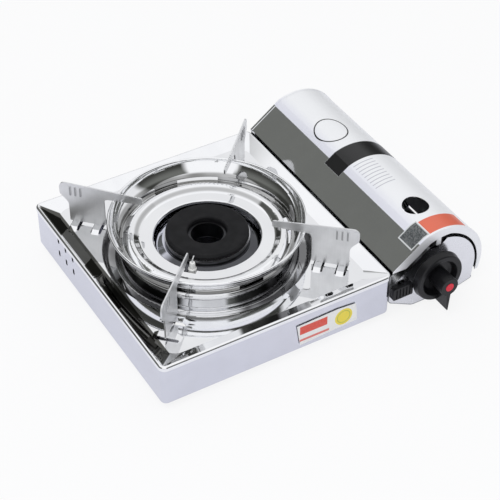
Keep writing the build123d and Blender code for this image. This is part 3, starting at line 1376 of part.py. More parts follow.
def knob_dot():
    """Round coloured insert in the end of the knob's boss."""
    dot = Cylinder(DOT_RADIUS, DOT_DEPTH + DOT_PROUD, align=(Align.CENTER, Align.CENTER, Align.MIN))
    dot = fillet(dot.edges().group_by(Axis.Z)[-1], DOT_PROUD * 0.8)
    return Pos(KNOB_X, KNOB_FRONT + DOT_DEPTH, KNOB_HEIGHT) * Rot(90, 0, 0) * dot


def valve_spindle():
    """Steel spindle from the knob through the igniter into the valve."""
    return rod(
        SPINDLE_RADIUS, (KNOB_X, KNOB_BACK - SPINDLE_SOCKET, KNOB_HEIGHT),
        (KNOB_X, REGULATOR_FRONT + SPINDLE_REACH, KNOB_HEIGHT),
    )


os.makedirs("parts", exist_ok=True)
save("base_pan", base_pan())
save("top_plate", top_plate())
for name, foot_x, foot_y in foot_places():
    save(f"foot_{name}", foot(foot_x, foot_y))
save("foot_screws", foot_screws())
save("ring_dish", ring_dish())
save("burner_cap", burner_cap())
save("burner_bowl", burner_bowl())
save("burner_elbow", burner_elbow())
save("burner_screws", burner_screws())
save("burner_tray", burner_tray())
save("burner_bracket", burner_bracket())
save("mixing_tube", mixing_tube())
save("air_shutter", air_shutter())
save("gas_jet", gas_jet())
save("gas_pipe", gas_pipe())
save("electrode_bracket", electrode_bracket())
save("electrode_insulator", electrode_insulator())
save("electrode_pin", electrode_pin())
save("igniter_body", igniter_body())
save("igniter_lead", igniter_lead())
for number, corner in enumerate(("rear_right", "rear_left", "front_left", "front_right")):
    save(f"pan_support_{corner}", pan_support(number))
save("cartridge_bay", cartridge_bay())
save("bay_rivets", bay_rivets())
save("canister_cover", canister_cover())
save("cover_hinge_pin", cover_hinge_pin())
save("front_panel", front_panel())
save("back_panel", back_panel())
save("cartridge_cradle_front", cartridge_cradle(CRADLE_FRONT_Y))
save("cartridge_cradle_rear", cartridge_cradle(CRADLE_REAR_Y))
save("regulator_body", regulator_body())
save("diaphragm_cover", diaphragm_cover())
save("regulator_stand", regulator_stand())
save("inlet_spigot", inlet_spigot())
save("inlet_seal", inlet_seal())
save("set_lever", set_lever())
save("can_holder", can_holder())
save("holder_guides", holder_guides())
save("knob", knob())
save("knob_dot", knob_dot())
save("valve_spindle", valve_spindle())
print(len(written), "sub-parts; frame offset", round(FRAME_X, 3), round(FRAME_Y, 3))
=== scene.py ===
import math

import bpy
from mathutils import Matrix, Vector


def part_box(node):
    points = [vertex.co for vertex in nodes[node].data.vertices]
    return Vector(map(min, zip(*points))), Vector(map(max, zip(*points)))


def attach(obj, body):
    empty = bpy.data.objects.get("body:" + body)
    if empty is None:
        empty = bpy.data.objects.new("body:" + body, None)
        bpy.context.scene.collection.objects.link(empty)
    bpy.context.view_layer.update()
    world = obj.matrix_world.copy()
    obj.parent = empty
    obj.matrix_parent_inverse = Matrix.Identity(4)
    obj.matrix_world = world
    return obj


# A portable table stove for a 67 mm gas cartridge. Every section below is one piece, or one group of
# like pieces, in the order in which the stove is put together. Lengths inside a section are stove
# millimetres, from the front left corner of the burner box and the table under it.
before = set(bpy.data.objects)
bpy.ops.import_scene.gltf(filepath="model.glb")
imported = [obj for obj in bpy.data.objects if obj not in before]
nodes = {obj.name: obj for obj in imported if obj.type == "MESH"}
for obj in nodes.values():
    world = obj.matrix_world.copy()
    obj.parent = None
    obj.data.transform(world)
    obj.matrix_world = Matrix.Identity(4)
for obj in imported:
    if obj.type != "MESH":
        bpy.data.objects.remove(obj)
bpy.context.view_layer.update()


# ---- studio ----
# White paper under a white ceiling, between two white screens, with dark room to be seen past their
# ends. Matt surfaces get even light; only polished steel shows the room, as its dark bands.
MM = 0.001
CORNER = Vector((*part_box("top_plate")[0].xy, 0.0))
WHITE = (1.0, 1.0, 1.0, 1.0)
MIX_LOW = 6
MIX_HIGH = 7
MIX_COLOUR = 2
LENS = 112.2
SENSOR = 36.0
AIM_POINT = Vector((150.86, 125.52, 6.8))
CAMERA_DISTANCE = 1330.2
CAMERA_AZIMUTH = math.radians(-30.47)
CAMERA_ELEVATION = math.radians(40.65)
DAYLIGHT = (0.72, 0.73, 0.75, 1.0)
CEILING = (0.98, 0.985, 1.0, 1.0)
WALL_HIGH = (0.155, 0.16, 0.15, 1.0)
WALL_LOW = (0.045, 0.046, 0.042, 1.0)
WALL_RISE = (0.10, 0.56)
CEILING_RISE = (0.675, 0.715)
FRONT_SCREEN = (math.radians(-155), math.radians(-95), math.radians(4))
BACK_SCREEN = (math.radians(-35), math.radians(84), math.radians(5))
BACK_SCREEN_WHITE = 0.85
GAP_WAY = (0.747, 0.654, 0.133)
GAP_RISE = (0.945, 0.965)
FLOOR_SIZE = 6.0
FLOOR_GLOW = 0.85
PAPER_MATT = (0.86, 0.86, 0.88, 1.0)
PAPER_PAINTED_SHADE = (0.90, 0.905, 0.97, 1.0)
PAPER_EDGE = (0.42, 0.62)
LAMP_PLACE = Vector((-0.9, -0.7, 1.9))
LAMP_SIZE = 1.6
LAMP_WATTS = 14.0


class Shade:
    """One output of a shader node. Arithmetic on it adds the Math nodes that it stands for."""

    def __init__(self, tree, output=None):
        self.tree = tree
        self.output = output

    def node(self, kind, settings, sockets, result=0):
        """A new node of a type, with its settings made first and its sockets filled or linked."""
        made = self.tree.nodes.new("ShaderNode" + kind)
        for name, value in settings.items():
            if name == "stops":
                ramp = made.color_ramp
                while len(ramp.elements) < len(value):
                    ramp.elements.new(1.0)
                for element, (place, colour) in zip(ramp.elements, value):
                    element.position = place
                    element.color = colour
            else:
                setattr(made, name, value)
        for name, value in sockets.items():
            if isinstance(value, Shade):
                self.tree.links.new(value.output, made.inputs[name])
            else:
                made.inputs[name].default_value = value
        return Shade(self.tree, made.outputs[result] if made.outputs else None)

    def take(self, name):
        """Another output of the same node."""
        return Shade(self.tree, self.output.node.outputs[name])

    def maths(self, operation, *values):
        return self.node("Math", {"operation": operation}, dict(enumerate(values)))

    def __add__(self, other):
        return self.maths("ADD", self, other)

    def __sub__(self, other):
        return self.maths("SUBTRACT", self, other)

    def __rsub__(self, other):
        return self.maths("SUBTRACT", other, self)

    def __mul__(self, other):
        return self.maths("MULTIPLY", self, other)

    __radd__ = __add__
    __rmul__ = __mul__

    def rise(self, low, high):
        """0 at low, 1 at high and smooth between, whichever of the two is larger."""
        ends = {"From Min": low, "From Max": high}
        return self.node("MapRange", {"interpolation_type": "SMOOTHSTEP"}, {"Value": self} | ends)

    def within(self, low, high, soft):
        """1 between low and high, 0 outside, with soft edges."""
        return self.rise(low - soft, low + soft) * self.rise(high + soft, high - soft)

    def mixed(self, low, high):
        """Colour that goes from low to high as this value goes from 0 to 1."""
        sockets = {0: self, MIX_LOW: low, MIX_HIGH: high}
        return self.node("Mix", {"data_type": "RGBA"}, sockets, MIX_COLOUR)


def studio_world():
    """Plain white for matt surfaces and behind the object; the room itself only in mirrors."""
    world = bpy.data.worlds.new("studio")
    world.use_nodes = True
    world.node_tree.nodes.clear()
    start = Shade(world.node_tree)
    way = start.node("TexCoord", {}, {}, "Generated")
    across = start.node("SeparateXYZ", {}, {"Vector": way})
    height = across.take("Z")
    turn = across.maths("ARCTAN2", across.take("Y"), across)
    walls = height.rise(*WALL_RISE).mixed(WALL_LOW, WALL_HIGH)
    gap = start.node("VectorMath", {"operation": "DOT_PRODUCT"}, {0: way, 1: GAP_WAY}, "Value")
    back_screen = turn.within(*BACK_SCREEN) * (1 - gap.rise(*GAP_RISE)) * BACK_SCREEN_WHITE
    screens = turn.maths("MAXIMUM", turn.within(*FRONT_SCREEN), back_screen)
    bright = turn.maths("MAXIMUM", height.rise(*CEILING_RISE), screens)
    ray = start.node("LightPath", {}, {}, "Is Camera Ray")
    seen = ray.take("Is Glossy Ray").mixed(DAYLIGHT, bright.mixed(walls, CEILING))
    light = start.node("Background", {}, {"Color": ray.mixed(seen, WHITE), "Strength": 1.0})
    start.node("OutputWorld", {}, {"Surface": light})
    return world


def finish(name, paint):
    """Material whose surface shader is what paint makes from a first Shade."""
    material = bpy.data.materials.new(name)
    material.use_nodes = True
    material.node_tree.nodes.clear()
    start = Shade(material.node_tree)
    start.node("OutputMaterial", {}, {"Surface": paint(start)})
    return material


def paper(start):
    """White paper that keeps a faint shadow. Steel sees the near paper dimmer and lilac, as painted
    shade, and sees where it ends and the dark room begins.
    """
    ray = start.node("LightPath", {}, {}, "Is Camera Ray")
    mirrored = ray.take("Is Glossy Ray")
    place = start.node("TexCoord", {}, {}, "Object")
    away = start.node("VectorMath", {"operation": "LENGTH"}, {0: place}, "Value")
    beyond = away.rise(*PAPER_EDGE) * mirrored
    matt = start.node("BsdfDiffuse", {}, {"Color": PAPER_MATT})
    # Painted shade: steel sees the near paper tinted lilac, for the stove's shadow on it.
    near = mirrored.mixed(WHITE, PAPER_PAINTED_SHADE)
    glow = start.node("Emission", {}, {"Color": beyond.mixed(near, WALL_LOW), "Strength": 1.0})
    lit = ray * FLOOR_GLOW + mirrored * (0.5 + 0.5 * beyond)
    return start.node("MixShader", {}, {0: lit, 1: matt, 2: glow})


def in_frame(point):
    """A point in stove millimetres, in the frame's metres."""
    return CORNER + Vector(point) * MM


scene = bpy.context.scene
scene.world = studio_world()
scene.view_settings.view_transform = "Standard"

floor_mesh = bpy.data.meshes.new("paper_floor")
half = FLOOR_SIZE / 2
floor_mesh.from_pydata(
    [(-half, -half, 0), (half, -half, 0), (half, half, 0), (-half, half, 0)], [], [(0, 1, 2, 3)]
)
floor_mesh.materials.append(finish("paper", paper))
floor = bpy.data.objects.new("paper_floor", floor_mesh)
scene.collection.objects.link(floor)

lamp_data = bpy.data.lights.new("soft_box", "AREA")
lamp_data.shape = "DISK"
lamp_data.size = LAMP_SIZE
lamp_data.energy = LAMP_WATTS
lamp = bpy.data.objects.new("soft_box", lamp_data)
lamp.location = LAMP_PLACE
lamp.rotation_euler = (-LAMP_PLACE).to_track_quat("-Z", "Y").to_euler()
lamp.visible_glossy = False
scene.collection.objects.link(lamp)

camera_data = bpy.data.cameras.new("camera")
camera_data.lens = LENS
camera_data.sensor_width = SENSOR
camera = bpy.data.objects.new("camera", camera_data)
level = math.cos(CAMERA_ELEVATION)
back = Vector((
    math.sin(CAMERA_AZIMUTH) * level,
    -math.cos(CAMERA_AZIMUTH) * level,
    math.sin(CAMERA_ELEVATION),
))
camera.location = in_frame(AIM_POINT + back * CAMERA_DISTANCE)
camera.rotation_euler = back.to_track_quat("Z", "Y").to_euler()
scene.collection.objects.link(camera)
scene.camera = camera


# ---- burner box ----
# Pressed pan of thin stainless sheet, rolled bright but not mirror bright, with punched vents in its
# left wall. A plain sticker, printed red and yellow on white film, is on its front wall.
PAN_STEEL = (0.70, 0.71, 0.775, 1.0)
STICKER = [(119.6, 33.9), (157.7, 35.2), (174.9, 33.7), (176.8, 15.3), (122.9, 12.8)]
STICKER_PROUD = 0.12
PANEL_ACROSS = (122.5, 148.0)
PANEL_UP = (23.5, 32.0)
STRIPE_ACROSS = (122.5, 150.0)
STRIPE_UP = (16.2, 18.6)
DISC_MIDDLE = (163.5, 24.5)
DISC_RADIUS = 8.2
DISC_RING = (5.6, 6.3)
STICKER_WHITE = (0.86, 0.86, 0.84, 1.0)
STICKER_RED = (0.72, 0.06, 0.03, 1.0)
STICKER_YELLOW = (0.86, 0.70, 0.04, 1.0)
STICKER_GREEN = (0.10, 0.30, 0.06, 1.0)


def stove_place(start):
    """Place on the surface in stove millimetres."""
    place = start.node("TexCoord", {}, {}, "Object")
    moved = start.node("VectorMath", {"operation": "SUBTRACT"}, {0: place, 1: CORNER}, "Vector")
    return start.node("VectorMath", {"operation": "SCALE"}, {0: moved, "Scale": 1 / MM}, "Vector")


def noise(start, place, scale, detail=2.0, stretch=(1.0, 1.0, 1.0)):
    """Noise of about 0.3 to 0.7 with so many waves a millimetre."""
    stretched = start.node("VectorMath", {"operation": "MULTIPLY"}, {0: place, 1: stretch}, "Vector")
    return start.node("TexNoise", {}, {"Vector": stretched, "Scale": scale, "Detail": detail})


def bumped(start, height, depth, normal=None):
    """Normal of a surface with a height of 0 to 1 over a depth in millimetres."""
    sockets = {"Height": height, "Distance": depth * MM, "Strength": 1.0}
    if normal:
        sockets["Normal"] = normal
    return start.node("Bump", {}, sockets)


def polished(tint, smooth, dull, wave):
    """Polished sheet: press waves, wipe marks and fine scratches."""

    def paint(start):
        place = stove_place(start)
        waves = noise(start, place, 0.018, 1.0)
        wipes = noise(start, place, 0.05, 3.0, (1.0, 0.4, 1.0))
        scratches = noise(start, place, 0.9, 2.0, (0.15, 1.0, 1.0))
        rough = smooth + (dull - smooth) * wipes.rise(0.45, 0.7)
        normal = bumped(start, waves, wave)
        normal = bumped(start, scratches, 0.0015, normal)
        pale = [min(1.0, channel * 1.05) for channel in tint[:3]] + [1.0]
        sockets = {
            "Base Color": wipes.rise(0.3, 0.7).mixed(tint, pale),
            "Metallic": 1.0,
            "Roughness": rough,
            "Normal": normal,
        }
        return start.node("BsdfPrincipled", {}, sockets)

    return paint


def coat(material, *names):
    """The CAD nodes of those names take a finish."""
    for name in names:
        mesh = nodes[name].data
        mesh.materials.clear()
        mesh.materials.append(material)


def sticker_print(start):
    """White film with a red panel at the left and a yellow disc in a green ring at the right."""
    place = stove_place(start)
    across = start.node("SeparateXYZ", {}, {"Vector": place})
    up = across.take("Z")
    grain = noise(start, place, 0.6, 3.0)
    panel = across.within(*PANEL_ACROSS, 0.3) * up.within(*PANEL_UP, 0.3)
    stripe = across.within(*STRIPE_ACROSS, 0.3) * up.within(*STRIPE_UP, 0.3)
    middle_x, middle_z = DISC_MIDDLE
    from_middle = start.node(
        "CombineXYZ", {}, {"X": across - middle_x, "Y": 0.0, "Z": up - middle_z}
    )
    reach = start.node("VectorMath", {"operation": "LENGTH"}, {0: from_middle}, "Value")
    colour = panel.mixed(STICKER_WHITE, STICKER_RED)
    colour = (0.85 * stripe).mixed(colour, STICKER_RED)
    colour = reach.rise(DISC_RADIUS + 0.2, DISC_RADIUS - 0.2).mixed(colour, STICKER_YELLOW)
    colour = (reach.within(*DISC_RING, 0.2) * 0.6).mixed(colour, STICKER_GREEN)
    sockets = {
        "Base Color": (grain.rise(0.3, 0.7) * 0.06).mixed(colour, WHITE),
        "Roughness": 0.28 + 0.1 * grain,
        "Normal": bumped(start, grain, 0.01),
    }
    return start.node("BsdfPrincipled", {}, sockets)


def patch(name, points, material, body):
    """Flat film with these corners, in stove millimetres, that rides on a body."""
    mesh = bpy.data.meshes.new(name)
    mesh.from_pydata([in_frame(point) for point in points], [], [tuple(range(len(points)))])
    mesh.materials.append(material)
    film = bpy.data.objects.new(name, mesh)
    scene.collection.objects.link(film)
    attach(film, body)
    return film


pan_steel = finish("pan_steel", polished(PAN_STEEL, 0.16, 0.26, 0.12))
coat(pan_steel, "base_pan")
sticker = patch(
    "front_sticker",
    [(x, -STICKER_PROUD, z) for x, z in reversed(STICKER)],
    finish("sticker_film", sticker_print),
    "root",
)

# ---- feet ----
# Moulded black rubber pads, each held under a corner of the pan by a zinc screw and nut.
BLACK = (0.0065, 0.0065, 0.0075, 1.0)
SATIN = (0.74, 0.745, 0.75, 1.0)


def moulded(tint, rough):
    """Moulded plastic, rubber or glaze with a fine grain."""

    def paint(start):
        place = stove_place(start)
        grain = noise(start, place, 1.4, 3.0)
        paler = [channel * 1.3 for channel in tint[:3]] + [1.0]
        sockets = {
            "Base Color": grain.rise(0.35, 0.65).mixed(tint, paler),
            "Roughness": rough + 0.1 * grain,
            "Specular IOR Level": 0.3,
            "Normal": bumped(start, grain, 0.01),
        }
        return start.node("BsdfPrincipled", {}, sockets)

    return paint


def dull_metal(tint, rough, depth):
    """Dull metal with a fine grain."""

    def paint(start):
        place = stove_place(start)
        grain = noise(start, place, 1.6, 4.0)
        cloud = noise(start, place, 0.06, 2.0)
        darker = [channel * 0.85 for channel in tint[:3]] + [1.0]
        sockets = {
            "Base Color": cloud.rise(0.35, 0.65).mixed(darker, tint),
            "Metallic": 1.0,
            "Roughness": rough + 0.12 * grain,
            "Normal": bumped(start, grain, depth),
        }
        return start.node("BsdfPrincipled", {}, sockets)

    return paint


coat(
    finish("foot_rubber", moulded(BLACK, 0.55)),
    "foot_front_left", "foot_front_right", "foot_rear_left", "foot_rear_right",
)
satin = finish("satin_steel", dull_metal(SATIN, 0.25, 0.01))
coat(satin, "foot_screws")

# ---- top plate ----
# One drawn sheet of mirror-polished stainless steel: sloping border, flat recess, the well round the
# burner and eight pressed lugs. It drops over the pan's walls.
STEEL = (0.90, 0.905, 0.92, 1.0)
STEEL_PALE = (0.94, 0.945, 0.955, 1.0)
BURNER_MIDDLE = (103.5, 114.0, 0.0)
WELL_RADIUS = 86.5
WELL_PAINTED_SHADE = (0.20, 0.20, 0.205, 1.0)
BORDER_PAINTED_SHADE = (0.10, 0.10, 0.092, 1.0)
SHADED_BORDER_FROM = 3.6
SHADED_BORDER_TO = 16.2
BODY_DEPTH = 229.0
UNSHADED_WAY = (-0.469, -0.883, 0.0)


def from_burner(start, place):
    """Distance from the burner's upright axis."""
    sockets = {0: place, 1: BURNER_MIDDLE}
    moved = start.node("VectorMath", {"operation": "SUBTRACT"}, sockets, "Vector")
    sockets = {0: moved, 1: (1.0, 1.0, 0.0)}
    flat = start.node("VectorMath", {"operation": "MULTIPLY"}, sockets, "Vector")
    return start.node("VectorMath", {"operation": "LENGTH"}, {0: flat}, "Value")


def facing(start, place, way):
    """Cosine between a level direction and the direction of the place from the burner's axis."""
    sockets = {0: place, 1: BURNER_MIDDLE}
    moved = start.node("VectorMath", {"operation": "SUBTRACT"}, sockets, "Vector")
    along = start.node("VectorMath", {"operation": "DOT_PRODUCT"}, {0: moved, 1: way}, "Value")
    return along.maths("DIVIDE", along, from_burner(start, place))


def mirror_with_painted_shade(shading_of):
    """Mirror steel with painted shade: its colour is made from the unshaded colour and the place."""

    def paint(start):
        place = stove_place(start)
        waves = noise(start, place, 0.018, 1.0)
        wipes = noise(start, place, 0.05, 3.0, (1.0, 0.4, 1.0))
        unshaded_colour = wipes.rise(0.3, 0.7).mixed(STEEL, STEEL_PALE)
        sockets = {
            "Base Color": shading_of(start, place, unshaded_colour),
            "Metallic": 1.0,
            "Roughness": 0.03 + 0.04 * wipes.rise(0.45, 0.7),
            "Normal": bumped(start, waves, 0.10),
        }
        return start.node("BsdfPrincipled", {}, sockets)

    return paint


def plate_painted_shade(start, place, unshaded_colour):
    """Painted shade: darker in the well, except in front, and down the sloping left border."""
    across = start.node("SeparateXYZ", {}, {"Vector": place})
    # Painted shade in patches round the well, left out towards the front.
    shaded_well = from_burner(start, place).rise(WELL_RADIUS + 0.4, WELL_RADIUS - 0.4)
    patches = noise(start, place, 0.035, 1.0).rise(0.42, 0.6)
    clear = facing(start, place, UNSHADED_WAY).rise(0.91, 0.975)
    colour = (shaded_well * (1 - 0.5 * patches) * (1 - 0.85 * clear)).mixed(unshaded_colour, WELL_PAINTED_SHADE)
    # Painted shade as a dark band down the sloping left border.
    # The border's edge runs at 45 degrees into both left corners.
    from_front = across.take("Y")
    left = across.within(SHADED_BORDER_FROM, SHADED_BORDER_TO, 0.3) * (from_front - across).rise(0.0, 0.8)
    left = left * ((BODY_DEPTH - from_front) - across).rise(0.0, 0.8)
    return left.mixed(colour, BORDER_PAINTED_SHADE)


# The plate's colour holds painted shade in the well and down its left border.
coat(finish("plate_steel", mirror_with_painted_shade(plate_painted_shade)), "top_plate")

# ---- burner ----
# Black coated cast ring over a dark cast bowl and elbow, screwed to a zinc stand on the pan's floor.
# A polished tray on the bowl's ledge closes the gap round it.
CAP_BLACK = (0.007, 0.007, 0.008, 1.0)
CAP_WORN = (0.012, 0.012, 0.013, 1.0)


def cast_black(start):
    """Matt black coating with fine grain."""
    place = stove_place(start)
    grain = noise(start, place, 2.2, 4.0)
    blotch = noise(start, place, 0.12, 2.0)
    sockets = {
        "Base Color": blotch.rise(0.3, 0.7).mixed(CAP_BLACK, CAP_WORN),
        "Roughness": 0.62 + 0.2 * grain,
        "Specular IOR Level": 0.25,
        "Normal": bumped(start, grain, 0.05),
    }
    return start.node("BsdfPrincipled", {}, sockets)


coat(finish("cap_coating", cast_black), "burner_cap")
BOWL_RIM = 53.7
BOWL_OUTSIDE = 32.5
CAST = (0.075, 0.076, 0.08, 1.0)
CAST_DARK = (0.055, 0.056, 0.06, 1.0)
RIM_BRIGHT = (0.60, 0.60, 0.62, 1.0)


def machined_rim(start):
    """Dark casting with the outer side of its top edge turned bright."""
    place = stove_place(start)
    grain = noise(start, place, 1.6, 4.0)
    cloud = noise(start, place, 0.06, 2.0)
    up = start.node("SeparateXYZ", {}, {"Vector": place}, "Z")
    dark = cloud.rise(0.35, 0.65).mixed(CAST_DARK, CAST)
    outside = from_burner(start, place).rise(BOWL_OUTSIDE - 0.5, BOWL_OUTSIDE + 0.5)
    turned = up.rise(BOWL_RIM - 3.6, BOWL_RIM - 2.4) * outside
    sockets = {
        "Base Color": turned.mixed(dark, RIM_BRIGHT),
        "Metallic": 1.0,
        "Roughness": 0.3 + 0.12 * grain,
        "Normal": bumped(start, grain, 0.02),
    }
    return start.node("BsdfPrincipled", {}, sockets)


coat(finish("bowl_casting", machined_rim), "burner_bowl")
coat(finish("die_casting", dull_metal(CAST, 0.32, 0.02)), "burner_elbow")
coat(satin, "burner_screws")
# The tray's colours are painted shade: dark nearly all round, pale towards the back left.
TRAY_PAINTED_SHADE = (0.09, 0.092, 0.10, 1.0)
TRAY_UNSHADED = (0.62, 0.63, 0.70, 1.0)
TRAY_UNSHADED_WAY = (-0.866, 0.5, 0.0)
ZINC = (0.45, 0.46, 0.47, 1.0)


def tray_painted_shade(start, place, unshaded_colour):
    """Painted shade nearly all the way round; pale only on the side towards the back left."""
    lit_side = facing(start, place, TRAY_UNSHADED_WAY).rise(0.70, 0.92)
    return lit_side.mixed(TRAY_PAINTED_SHADE, TRAY_UNSHADED)


coat(finish("tray_steel", mirror_with_painted_shade(tray_painted_shade)), "burner_tray")
zinc = finish("zinc_steel", dull_metal(ZINC, 0.3, 0.01))
coat(zinc, "burner_bracket")

# ---- gas path to the burner ----
# Zinc-plated mixing tube with a sleeve over its air holes, a brass jet, and a bent steel pipe.
BRASS = (0.70, 0.50, 0.20, 1.0)
coat(zinc, "mixing_tube", "air_shutter", "gas_pipe")
brass = finish("brass", dull_metal(BRASS, 0.2, 0.005))
coat(brass, "gas_jet")

# ---- igniter ----
# White glazed insulator with a steel pin, in a clip screwed under the burner's stand, and a rubber
# covered lead from the striker beside the knob.
GLAZE = (0.80, 0.80, 0.78, 1.0)
RUBBER = (0.02, 0.02, 0.02, 1.0)
coat(finish("ceramic", moulded(GLAZE, 0.12)), "electrode_insulator")
coat(satin, "electrode_pin")
coat(zinc, "electrode_bracket")
rubber = finish("rubber", moulded(RUBBER, 0.6))
coat(rubber, "igniter_lead")
black_plastic = finish("black_plastic", moulded(BLACK, 0.3))
coat(black_plastic, "igniter_body")

# ---- ring dish ----
# Spun dish of the same mirror steel, loose on the seat round the burner, lifted out for cleaning.
# Its colour has painted shade: dark rings round the slotted foot of its wall and at its ridge.
SLOT_RING = (69.0, 74.2)
RIDGE_RING = (56.5, 59.5)
FOOT_PAINTED_SHADE = (0.24, 0.24, 0.235, 1.0)


def dish_painted_shade(start, place, unshaded_colour):
    """Painted shade: darker rings round the slotted foot and at the ridge."""
    reach = from_burner(start, place)
    patches = noise(start, place, 0.03, 1.0).rise(0.4, 0.62)
    ring = reach.within(*SLOT_RING, 0.8) * (1 - 0.35 * patches)
    ridge = reach.within(*RIDGE_RING, 0.9) * 0.6
    return ring.maths("MAXIMUM", ring, ridge).mixed(unshaded_colour, FOOT_PAINTED_SHADE)


coat(finish("dish_steel", mirror_with_painted_shade(dish_painted_shade)), "ring_dish")

# ---- pan supports ----
# Four blades stamped from thick steel sheet, brushed across their length, which slip into the lugs.
BLADE_STEEL = (0.80, 0.805, 0.815, 1.0)
RIB_PAINTED_SHADE = (0.36, 0.362, 0.37, 1.0)
RIB_PLACES = (107.8, 112.2, 116.6)
RIB_HALF = 0.7
RIB_LOW = 70.7
RIB_HIGH = 79.7


def stamped(start):
    """Satin sheet with upright brush lines and darker patches from the press, and painted shade in the
    rib grooves.
    """
    place = stove_place(start)
    reach = from_burner(start, place)
    up = start.node("SeparateXYZ", {}, {"Vector": place}, "Z")
    bars = sum(reach.within(middle - RIB_HALF, middle + RIB_HALF, 0.2) for middle in RIB_PLACES)
    # Painted shade: the three rib grooves are coloured dark.
    rib_shade = bars * up.within(RIB_LOW, RIB_HIGH, 0.3)
    lines = noise(start, place, 1.3, 3.0, (1.0, 1.0, 0.05))
    cloud = noise(start, place, 0.07, 2.0)
    darker = [channel * 0.88 for channel in BLADE_STEEL[:3]] + [1.0]
    sheet = (lines.rise(0.3, 0.7) * 0.3 + cloud.rise(0.3, 0.7) * 0.7).mixed(darker, BLADE_STEEL)
    sockets = {
        "Base Color": rib_shade.mixed(sheet, RIB_PAINTED_SHADE),
        "Metallic": 0.85,
        "Roughness": 0.30 + 0.12 * lines,
        "Normal": bumped(start, lines, 0.015),
    }
    return start.node("BsdfPrincipled", {}, sockets)


coat(
    finish("blade_steel", stamped),
    "pan_support_front_left", "pan_support_front_right",
    "pan_support_rear_left", "pan_support_rear_right",
)

# ---- cartridge bay ----
# Folded trough of zinc-plated sheet riveted to the burner box, with two moulded cradles for the can.
coat(zinc, "cartridge_bay")
coat(satin, "bay_rivets")
coat(black_plastic, "cartridge_cradle_front", "cartridge_cradle_rear")

# ---- regulator ----
# Die-cast body with a steel diaphragm cover on a sheet stand; a brass spigot and its rubber seal
# meet the can's valve.
REGULATOR_CAST = (0.30, 0.30, 0.31, 1.0)
coat(finish("regulator_casting", dull_metal(REGULATOR_CAST, 0.34, 0.02)), "regulator_body")
coat(zinc, "diaphragm_cover", "regulator_stand")
coat(brass, "inlet_spigot")
coat(rubber, "inlet_seal")

# ---- cartridge lever ----
# Ribbed lever moulded in one with its stem and slotted plate; it pushes the steel can holder, which
# runs on two guides.
coat(black_plastic, "set_lever")
coat(zinc, "can_holder", "holder_guides")

# ---- end panels ----
# Pressed panels that close the bay at the knob and at the back.
PANEL_STEEL = (0.80, 0.805, 0.83, 1.0)
panel_steel = finish("panel_steel", polished(PANEL_STEEL, 0.2, 0.3, 0.1))
coat(panel_steel, "front_panel", "back_panel")

# ---- cartridge cover ----
# Rolled sheet on a long hinge. Most of its flank stays bare polished steel. The rest is lacquered white
# and printed with a plain ring, a black band, grey rules, an orange strip and a speckled tag.
COVER_AXIS = Vector((257.8, 0.0, 28.3))
LIP_BACK = 4.1
PRINT_LEFT = 236.2
PRINT_LOW = 18.0
LACQUER = (0.90, 0.905, 0.915, 1.0)
LACQUER_PAINTED_SHADE = (0.78, 0.785, 0.86, 1.0)
BAND = (231.5, 300.0, 115.0, 137.0)
BAND_BLACK = (0.006, 0.006, 0.0065, 1.0)
RING_MIDDLE = (254.5, 163.0)
RING_RADIUS = 14.0
RING_WIDTH = 0.55
RING_STRETCH = 0.88
RULES_ALONG = (74.0, 112.0)
RULES_ACROSS = (243.5, 263.0)
RULE_PITCH = 4.2
RULE_GREY = (0.42, 0.42, 0.47, 1.0)
STRIP = (247.5, 284.0, 5.5, 22.5)
STRIP_ORANGE = (0.78, 0.16, 0.09, 1.0)
TAG = (230.0, 247.0, 5.5, 24.5)
TAG_BORDER = 1.0
TAG_DARK = (0.05, 0.055, 0.06, 1.0)
TAG_SPECK = (0.16, 0.17, 0.17, 1.0)
TAG_PALE = (0.62, 0.64, 0.64, 1.0)
SHEET_PALE = (0.93, 0.935, 0.95, 1.0)


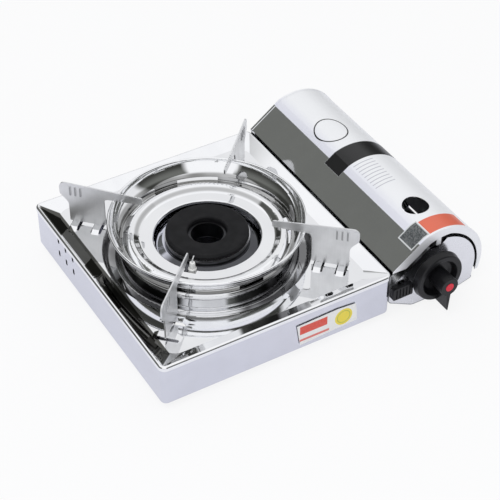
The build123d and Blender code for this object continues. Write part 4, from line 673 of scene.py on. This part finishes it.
def printed_steel(start):
    """Mirror steel with white lacquer and print on its outer face, and a duller front lip."""
    place = stove_place(start)
    across = start.node("SeparateXYZ", {}, {"Vector": place})
    along = across.take("Y")
    above_hinge = across.take("Z").rise(PRINT_LOW - 0.3, PRINT_LOW + 0.3)
    normal = start.node("TexCoord", {}, {}, "Normal")
    spoke = start.node("VectorMath", {"operation": "SUBTRACT"}, {0: place, 1: COVER_AXIS}, "Vector")
    spoke = start.node("VectorMath", {"operation": "MULTIPLY"}, {0: spoke, 1: (1.0, 0.0, 1.0)}, "Vector")
    outward = start.node("VectorMath", {"operation": "DOT_PRODUCT"}, {0: normal, 1: spoke}, "Value")
    outside = outward.rise(5.0, 12.0)

    def area(left, right, low, high):
        return across.within(left, right, 0.15) * along.within(low, high, 0.2)

    band = area(*BAND) * above_hinge
    tag = area(*TAG)
    left, right, low, high = TAG
    inner = area(left + TAG_BORDER, right - TAG_BORDER, low + TAG_BORDER, high - TAG_BORDER)
    lacquer = across.rise(PRINT_LEFT - 0.2, PRINT_LEFT + 0.2)
    lacquer = lacquer.maths("MAXIMUM", lacquer, band.maths("MAXIMUM", band, tag)) * outside
    cloud = noise(start, place, 0.05, 2.0)
    grain = noise(start, place, 0.9, 3.0)
    # Painted shade: the lacquer turns greyer and lilac towards the crease at the flank's edge.
    white = across.rise(PRINT_LEFT, PRINT_LEFT + 14.0).mixed(LACQUER_PAINTED_SHADE, LACQUER)
    rules = along.maths("FRACT", along * (1 / RULE_PITCH)).within(0.3, 0.52, 0.05)
    rules = rules * along.within(*RULES_ALONG, 0.3) * across.within(*RULES_ACROSS, 0.3)
    ring_y = (along - RING_MIDDLE[1]) * RING_STRETCH
    middle = start.node("CombineXYZ", {}, {"X": across - RING_MIDDLE[0], "Y": ring_y, "Z": 0.0})
    reach = start.node("VectorMath", {"operation": "LENGTH"}, {0: middle}, "Value")
    ring = reach.within(RING_RADIUS - RING_WIDTH, RING_RADIUS + RING_WIDTH, 0.15)
    paint = (rules * 0.8).mixed(white, RULE_GREY)
    paint = ring.mixed(paint, BAND_BLACK)
    paint = band.mixed(paint, BAND_BLACK)
    paint = area(*STRIP).mixed(paint, STRIP_ORANGE)
    paint = tag.mixed(paint, TAG_PALE)
    paint = inner.mixed(paint, grain.rise(0.44, 0.56).mixed(TAG_DARK, TAG_SPECK))
    waves = noise(start, place, 0.018, 1.0)
    lip = along.rise(LIP_BACK + 0.3, LIP_BACK - 0.3) * (1.0 - outside)
    sheet = cloud.rise(0.3, 0.7).mixed(STEEL, SHEET_PALE)
    sockets = {
        "Base Color": lacquer.mixed(sheet, paint),
        "Metallic": 1.0 - (lacquer + 0.45 * lip),
        "Roughness": 0.05 + 0.04 * grain + 0.25 * lacquer + 0.28 * lip,
        "Normal": bumped(start, waves, 0.10),
    }
    return start.node("BsdfPrincipled", {}, sockets)


coat(finish("printed_steel", printed_steel), "canister_cover")
coat(satin, "cover_hinge_pin")

# ---- knob ----
# Moulded black knob with a dished face and a thin pointer fin; a red spot is pressed into the fin.
DOT_RED = (0.62, 0.02, 0.04, 1.0)
coat(finish("knob_plastic", moulded(BLACK, 0.26)), "knob")
coat(finish("red_plastic", moulded(DOT_RED, 0.25)), "knob_dot")
coat(satin, "valve_spindle")
